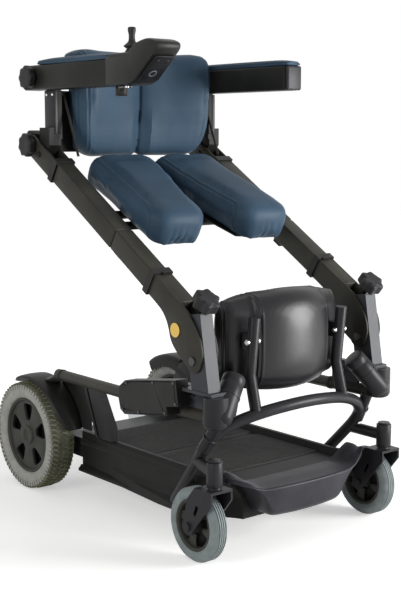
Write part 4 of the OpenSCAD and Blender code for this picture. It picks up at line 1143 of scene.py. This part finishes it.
# Fenders: a pressed dome over the tread, an inner wall, and a shoulder that takes the rail
fender = {"wide": 82, "axleY": 456, "axleZ": 152, "wall": 206, "crown": 170.5, "under": 160, "start": 56,
          "end": 167, "steps": 56,
          "lining": ((250, 190), (250, 297), (286, 316), (322, 328), (360, 322), (396, 304), (440, 226),
                     (440, 190))}


def fenderDome(side, coat):
    f, rings = fender, []
    c, u = f["crown"], f["under"]
    for i, a in enumerate(np.radians(np.linspace(f["start"], f["end"], f["steps"]))):
        share = i / (f["steps"] - 1)
        reach = 0.35 + 0.65 * dome(max(0, 1 - share / 0.16), 2.2)  # the dome closes in at its rear end
        reach = min(reach, 0.55 + 0.45 * dome(max(0, (share - 0.55) / 0.45), 2.0))
        wide = f["wide"] * reach
        outer = [(0, u - 26), (0, u - 12), (1.5, u), (6, c - 4), (14, c - 0.8), (wide * 0.5 + 7, c),
                 (wide - 8, c - 2.5), (wide - 2.5, c - 5.5), (wide, c - 9)]
        inner = [(wide - 3, u + 0.6), (wide * 0.5 + 4, u + 0.4), (5, u + 0.2), (4, u - 12), (4, u - 26)]
        rings.append([at(side * (f["wall"] + x), f["axleY"] + r * math.cos(a), f["axleZ"] + r * math.sin(a))
                      for x, r in curveThrough(outer, 3) + inner])
    return sharpened(loft("dome", rings, coat), 60)


def fenderShoulder(side, coat):  # flattens from the round rail end to the dome
    rings = []
    for k in np.linspace(0, 1, 20):
        ease = smoothStep(0, 1, k)
        middleX, middleZ = 250 - 16 * ease, 338 - 21 * ease - 3 * k
        halfX, halfZ = 16.5 + 10 * ease, 16.5 - 7.5 * ease
        rings.append([at(side * (middleX + halfX * math.cos(t)), 323 + 78 * k, middleZ + halfZ * math.sin(t))
                      for t in fullTurn(40)])
    return loft("shoulder", rings, coat)


def fenderPiece(side, label):
    coat, wall = finish["blackPlastic"], fender["wall"]
    lining = platePiece("wall", fender["lining"], wall + 0.2, wall + 3.8, sideOf(side) @ level, coat, 1.4)
    piece = joined("wheel_fender_" + label, [fenderDome(side, coat), lining, fenderShoulder(side, coat)])
    settle(turnedOut(piece), "base", "black_plastic", "fender_" + label)


# Joystick pod: wedge housing, a darker and glossier panel below its nose whose dark tone paints the shade of
# the recess there, thumb nut under the beam
pod = {"wide": 72, "edge": 7, "stickY": -20, "stickZ": 1181, "panel": ((-84, 11.5), (-152, 63.5)),
       "sockets": ((6, 4.5), (-8, 4), (-24, 5), (-38, 4)), "nutY": 24, "flutes": 18,
       "nut": ((0.3, -24), (13, -24), (15, -22), (15, -3), (13, 0.4), (0.3, 0.4)),
       "stick": ((0.3, -11), (22, -11), (23.5, -9), (23, -6), (17, 4), (13.5, 9), (13, 11), (19.5, 15),
                 (20, 17), (18.5, 19), (11, 25), (8.4, 29), (7.6, 34), (7.4, 42), (8.4, 47), (9.6, 52),
                 (9.8, 58), (8.6, 61), (6, 61.8), (0.3, 61.9))}


def podOutline():
    z = beam["low"]
    snout = [(-50, z), (-76, z + 9), (-118, z + 41), (-158, z + 72), (-167, z + 85), (-160, z + 97),
             (-124, z + 104), (-84, z + 98), (-62, z + 87), (-50, z + 77)]
    return [(beam["frontRight"], z)] + curveThrough(snout, 5) + [(22, z + 76), (beam["frontRight"], z + 68)]


def thumbNut(centre):
    nut = revolve("nut", pod["nut"], pod["flutes"] * 4, centre, finish["blackPlastic"], "Z")
    points, middle = coords(nut), np.array(centre)[:2]
    turn = np.arctan2(points[:, 1] - middle[1], points[:, 0] - middle[0])
    pinch = 1 - 0.05 * (0.5 - 0.5 * np.cos(pod["flutes"] * turn))
    points[:, :2] = middle + (points[:, :2] - middle) * pinch[:, None]
    setCoords(nut, points)
    return nut


def joystickPod():
    half, x, z = pod["wide"] / 2, -beam["x"], beam["low"]
    parts = [platePiece("shell", podOutline(), x - half, x + half, level, finish["pod"], pod["edge"])]
    (y0, z0), (y1, z1) = pod["panel"]
    slope, length = math.atan2(z1 - z0, y0 - y1), math.hypot(z1 - z0, y0 - y1)
    lay = level @ Matrix.Translation(Vector((x, y0, z + z0)) / 1000) @ Matrix.Rotation(-slope, 4, "X")
    # the panel's near-black tone is painted shade for the recess under the nose
    parts.append(blockMm("panel", (-half + 8, -length, -3.2), (half - 8, 0, 1.5), lay, finish["podShadePanel"],
                         1.4))
    ring = ((7.5, -1.6), (10.5, -1.6), (10.5, 1), (7.5, 1))
    eye = ((0.2, -1), (2.2, -1), (2.2, 1), (0.2, 1))
    for across, down, profile, turns, coat in ((-4, -26, ring, 40, "greyPlastic"),
                                               (-14, -length + 14, eye, 16, "darkSteel"),
                                               (14, -length + 14, eye, 16, "darkSteel")):
        detail = revolve("panelDetail", profile, turns, (0, 0, 0), finish[coat], "Z")
        detail.data.transform(lay @ Matrix.Translation(Vector((across, down, -3.4)) / 1000))
        parts.append(detail)
    for y, size in pod["sockets"]:  # cable sockets under the pod
        profile = [(0.3, -7), (size - 1, -7), (size, -5.5), (size, 0.5), (0.3, 0.5)]
        coat = finish["darkSteel"] if size < 4.6 else finish["zinc"]
        parts.append(revolve("plug", profile, 20, at(x - 18, y, z), coat, "Z"))
    parts.append(thumbNut(at(x, pod["nutY"], z)))
    settle(joined("stick_housing", parts), "armrest_right", "black_plastic", "joystick_pod")


def joystickPiece():
    place = at(-beam["x"], pod["stickY"], pod["stickZ"])
    stick = revolve("control_stick", pod["stick"], 40, place, finish["gaiter"], "Z")
    settle(stick, "stick", "black_rubber", "joystick")
    steel = finish["darkSteel"]
    parts = [revolve("ring", [(15, -4), (19, -4), (19, 4), (15, 4)], 40, (0, 0, 0), steel, "Z")]
    for a, b in ((-27, -18), (18, 27)):
        parts.append(revolve("pin", [(0.3, a), (2.4, a), (2.4, b), (0.3, b)], 16, (0, 0, 0), steel))
    gimbal = joined("stick_ring", parts)
    gimbal.data.transform(Matrix.Translation(at(-beam["x"], pod["stickY"], pod["stickZ"] - 14)))
    settle(gimbal, "stick_gimbal", "black_plastic", "joystick_gimbal")


# Clamp knobs: moulded lobes with a soft crown
starKnob = {"radius": 33, "tall": 28, "lobes": 6, "depth": 0.2, "x": 272, "y": -345, "z": 406, "lean": 9.5,
            "rise": 182, "stud": 26, "tilt": 40, "sink": -14,
            "shank": ((0.3, -46), (5, -46), (5, -10), (10, -10), (11, -6), (11, 1), (0.3, 1))}
clampKnob = {"radius": 32, "tall": 18, "lobes": 8, "depth": 0.12, "boss": 4, "along": 840, "up": 58,
             "armStud": 10, "beamStud": 8}


def ringOf(radius, angles, height):
    return np.stack([radius * np.cos(angles), radius * np.sin(angles), np.full_like(angles, height)], 1)


def lobedKnob(name, k, place, shank):
    angles = fullTurn(k["lobes"] * 16)
    lobe = 1 - k["depth"] * (0.5 - 0.5 * np.cos(k["lobes"] * angles)) ** 0.8
    rings = []
    for t in np.linspace(0, 1, 15):
        edge = dome(2 * t - 1, 5) * 0.16 + 0.84
        flat = 1 - 0.12 * abs(2 * t - 1) ** 6
        rings.append(ringOf(k["radius"] * lobe ** (0.35 + 0.65 * flat) * edge, angles, k["tall"] * t))
    for shrink, rise in ((0.72, 0.02), (0.4, -0.03)):  # the crown
        rings.append(ringOf(k["radius"] * shrink, angles, k["tall"] * (1 + rise)))
    star = loft("star", np.array(rings) / 1000, finish["knob"])
    piece = joined(name, [star, revolve("shank", shank, 32, (0, 0, 0), finish["knob"], "Z")])
    piece.data.transform(place)
    return turnedOut(piece)


def clampShank(stud):
    return [(0.3, -stud), (6, -stud), (6, -3.7), (16, -3.7), (17, 1), (0.3, 1)]


def knobs():
    k, c = starKnob, clampKnob
    leanBack, tilt = (Matrix.Rotation(math.radians(a), 4, "X") for a in (-k["lean"], k["tilt"]))
    rise, stud, sink = (Matrix.Translation((0, 0, k[key] / 1000)) for key in ("rise", "stud", "sink"))
    post = (Matrix.Translation(at(k["x"], k["y"], k["z"])) @ leanBack @ rise @ leanBack.inverted() @ stud
            @ tilt @ sink)
    sideways = Matrix.Rotation(math.radians(90), 4, "Y")
    armSpot = Vector((arm["outer"] + c["boss"], c["along"], c["up"])) / 1000
    onArm = armFrame @ Matrix.Translation(armSpot) @ sideways
    onBeam = Matrix.Translation(at(beam["x"] + beam["wide"] / 2 + c["boss"], beam["knobY"],
                                   beam["low"] + beam["tall"] / 2)) @ sideways
    for side, label in ((-1, "right"), (1, "left")):
        for name, body, node, size, place, shank in (
                ("star_knob_", "post_star_", "post_knob_", k, post, k["shank"]),
                ("clamp_knob_", "arm_clamp_", "arm_knob_", c, onArm, clampShank(c["armStud"])),
                ("beam_knob_", "armrest_clamp_", "armrest_knob_", c, onBeam, clampShank(c["beamStud"]))):
            piece = lobedKnob(name + label, size, sideOf(side) @ place, shank)
            settle(piece, body + label, "black_plastic", node + label)


# Deck mats: rubber sheet with fine ribs, laid in the tray
mat = {"pitch": 8, "rib": 4.6, "height": 1.1, "endGap": 8, "sheets": ((-222, 12), (34, 288))}


def ribTree():
    tree, ids, given = nodeTree("ribField", {"Count": "Int", "Step": "Vector", "First": "Vector",
                                             "Rib": "Vector", "Material": "Material"})
    row = addNode(tree, "GeometryNodeMeshLine", {"Count": given["Count"], "Start Location": given["First"],
                                                 "Offset": given["Step"]}, mode="OFFSET")
    rib = addNode(tree, "GeometryNodeMeshCube", {"Size": given["Rib"]})
    field = addNode(tree, "GeometryNodeInstanceOnPoints", {"Points": row.outputs[0],
                                                           "Instance": rib.outputs["Mesh"]})
    closeTree(tree, field.outputs[0], given["Material"])
    return tree, ids


def deckMats():
    low, high = (corner * 1000 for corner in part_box("deck_mats"))
    group = ribTree()
    half = (high.x - low.x) / 2
    count = int(2 * half / mat["pitch"])
    parts = []
    for y0, y1 in mat["sheets"]:
        front, rear = at(0, y0, 0).y * 1000, at(0, y1, 0).y * 1000
        parts.append(blockMm("sheet", (-half, front, low.z), (half, rear, high.z - 1), Matrix.Identity(4),
                             finish["mat"], 0.6, 2))
        first = Vector((-(count - 1) / 2 * mat["pitch"], (front + rear) / 2, high.z - mat["height"] / 2))
        rib = Vector((mat["rib"], rear - front - mat["endGap"], mat["height"]))
        parts.append(runTree("ribs", group, {
            "Count": count, "Step": (mat["pitch"] / 1000, 0, 0), "First": first / 1000, "Rib": rib / 1000,
            "Material": finish["mat"]}))
    settle(joined("ribbed_mats", parts), "base", "black_rubber", "deck_mats")


for side, label in ((-1, "right"), (1, "left")):
    driveTyrePiece(side, label)
    casterTyrePiece(side, label)
    liftArm(side, label)
    upperArm(side, label)
    fenderPiece(side, label)
    rims(side, label)
    uprightPlate(side, label)
frontHoop()
gearMotors()
deckLips()
armrestBeam(-1, "right", beam["frontRight"])
armrestBeam(1, "left", beam["frontLeft"])
endCap()
nosePiece()
joystickPod()
joystickPiece()
knobs()
deckMats()
print("wheels, arms, armrests, knobs and mats made")

# Studio
# the floor's glow is low near the chair, which paints deeper shade round it, and rises to white far off
studio = {"ambient": 0.28, "floorHalf": 9.0, "floorTone": "#f2f2f0", "shadedNearGlow": 0.45, "farGlow": 0.82,
          "glowFrom": 0.8, "glowTo": 2.4}
photoView = {"focalPx": 1187.1, "tallPx": 601, "place": (-1.9688, -2.4806, 0.9845), "dip": 7.895,
             "turn": -39.24}
lamps = {  # place, target, size, watts
    "keyBox": ((2.1, -2.9, 0.9), (0, -0.2, 0.6), (1.5, 1.7), 182),
    "leftBox": ((-3.6, -0.6, 1.5), (0, 0, 0.6), (1.8, 2.0), 52),
    "topBox": ((0.4, 0.6, 3.6), (0, 0, 0), (2.5, 2.5), 10),
}


def camera():
    lens = bpy.data.cameras.new("photoCamera")
    lens.sensor_width = 36
    lens.lens = photoView["focalPx"] / photoView["tallPx"] * lens.sensor_width
    view = linked("photoCamera", lens)
    view.location = photoView["place"]
    view.rotation_euler = (math.radians(90 - photoView["dip"]), 0, math.radians(photoView["turn"]))
    bpy.context.scene.camera = view


def softbox(name, place, target, size, watts):
    lamp = bpy.data.lights.new(name, "AREA")
    lamp.shape = "RECTANGLE"
    lamp.size, lamp.size_y = size
    lamp.energy = watts
    box = linked(name, lamp)
    box.location = place
    box.rotation_euler = (Vector(target) - Vector(place)).to_track_quat("-Z", "Y").to_euler()


def seenDirectly(tree):  # camera, mirror and see-through rays meet the plain white background
    path = addNode(tree, "ShaderNodeLightPath")
    rays = [path.outputs["Is " + kind + " Ray"] for kind in ("Camera", "Glossy", "Transmission")]
    first = addNode(tree, "ShaderNodeMath", {0: rays[0], 1: rays[1]}, operation="MAXIMUM")
    return addNode(tree, "ShaderNodeMath", {0: first.outputs[0], 1: rays[2]}, operation="MAXIMUM").outputs[0]


def surroundings():
    world = bpy.data.worlds.new("studio")
    bpy.context.scene.world = world
    world.use_nodes = True
    tree = world.node_tree
    backdrop = tree.nodes["Background"]
    backdrop.inputs["Color"].default_value = (1, 1, 1, 1)
    strength = addNode(tree, "ShaderNodeMapRange", {"Value": seenDirectly(tree), "To Min": studio["ambient"],
                                                    "To Max": 1.0})
    tree.links.new(strength.outputs["Result"], backdrop.inputs["Strength"])


def paperFloor():
    half = studio["floorHalf"]
    mesh = bpy.data.meshes.new("studioFloor")
    corners = [(-half, -half, 0), (half, -half, 0), (half, half, 0), (-half, half, 0)]
    mesh.from_pydata(corners, [], [(0, 1, 2, 3)])
    paper = bpy.data.materials.new("paperFloor")
    paper.use_nodes = True
    tree = paper.node_tree
    tree.nodes.remove(tree.nodes["Principled BSDF"])
    matt = addNode(tree, "ShaderNodeBsdfDiffuse", {"Color": toLinear(studio["floorTone"])})
    away = addNode(tree, "ShaderNodeVectorMath", {0: objectSpace(tree)}, operation="LENGTH")
    # glow weaker near the chair: painted shade that deepens its shadow, white far off
    glowShadedNear = addNode(tree, "ShaderNodeMapRange", {
        "Value": away.outputs["Value"], "From Min": studio["glowFrom"], "From Max": studio["glowTo"],
        "To Min": studio["shadedNearGlow"], "To Max": studio["farGlow"]})
    shown = addNode(tree, "ShaderNodeMath", {0: seenDirectly(tree), 1: glowShadedNear.outputs["Result"]},
                    operation="MULTIPLY")
    glow = addNode(tree, "ShaderNodeEmission", {"Strength": shown.outputs[0]})
    total = addNode(tree, "ShaderNodeAddShader", {0: matt.outputs[0], 1: glow.outputs[0]})
    tree.links.new(total.outputs[0], tree.nodes["Material Output"].inputs["Surface"])
    mesh.materials.append(paper)
    floor = linked("studioFloor", mesh)


bpy.context.scene.view_settings.view_transform = "Standard"
camera()
surroundings()
paperFloor()
for name, lamp in lamps.items():
    softbox(name, *lamp)
print("studio set")
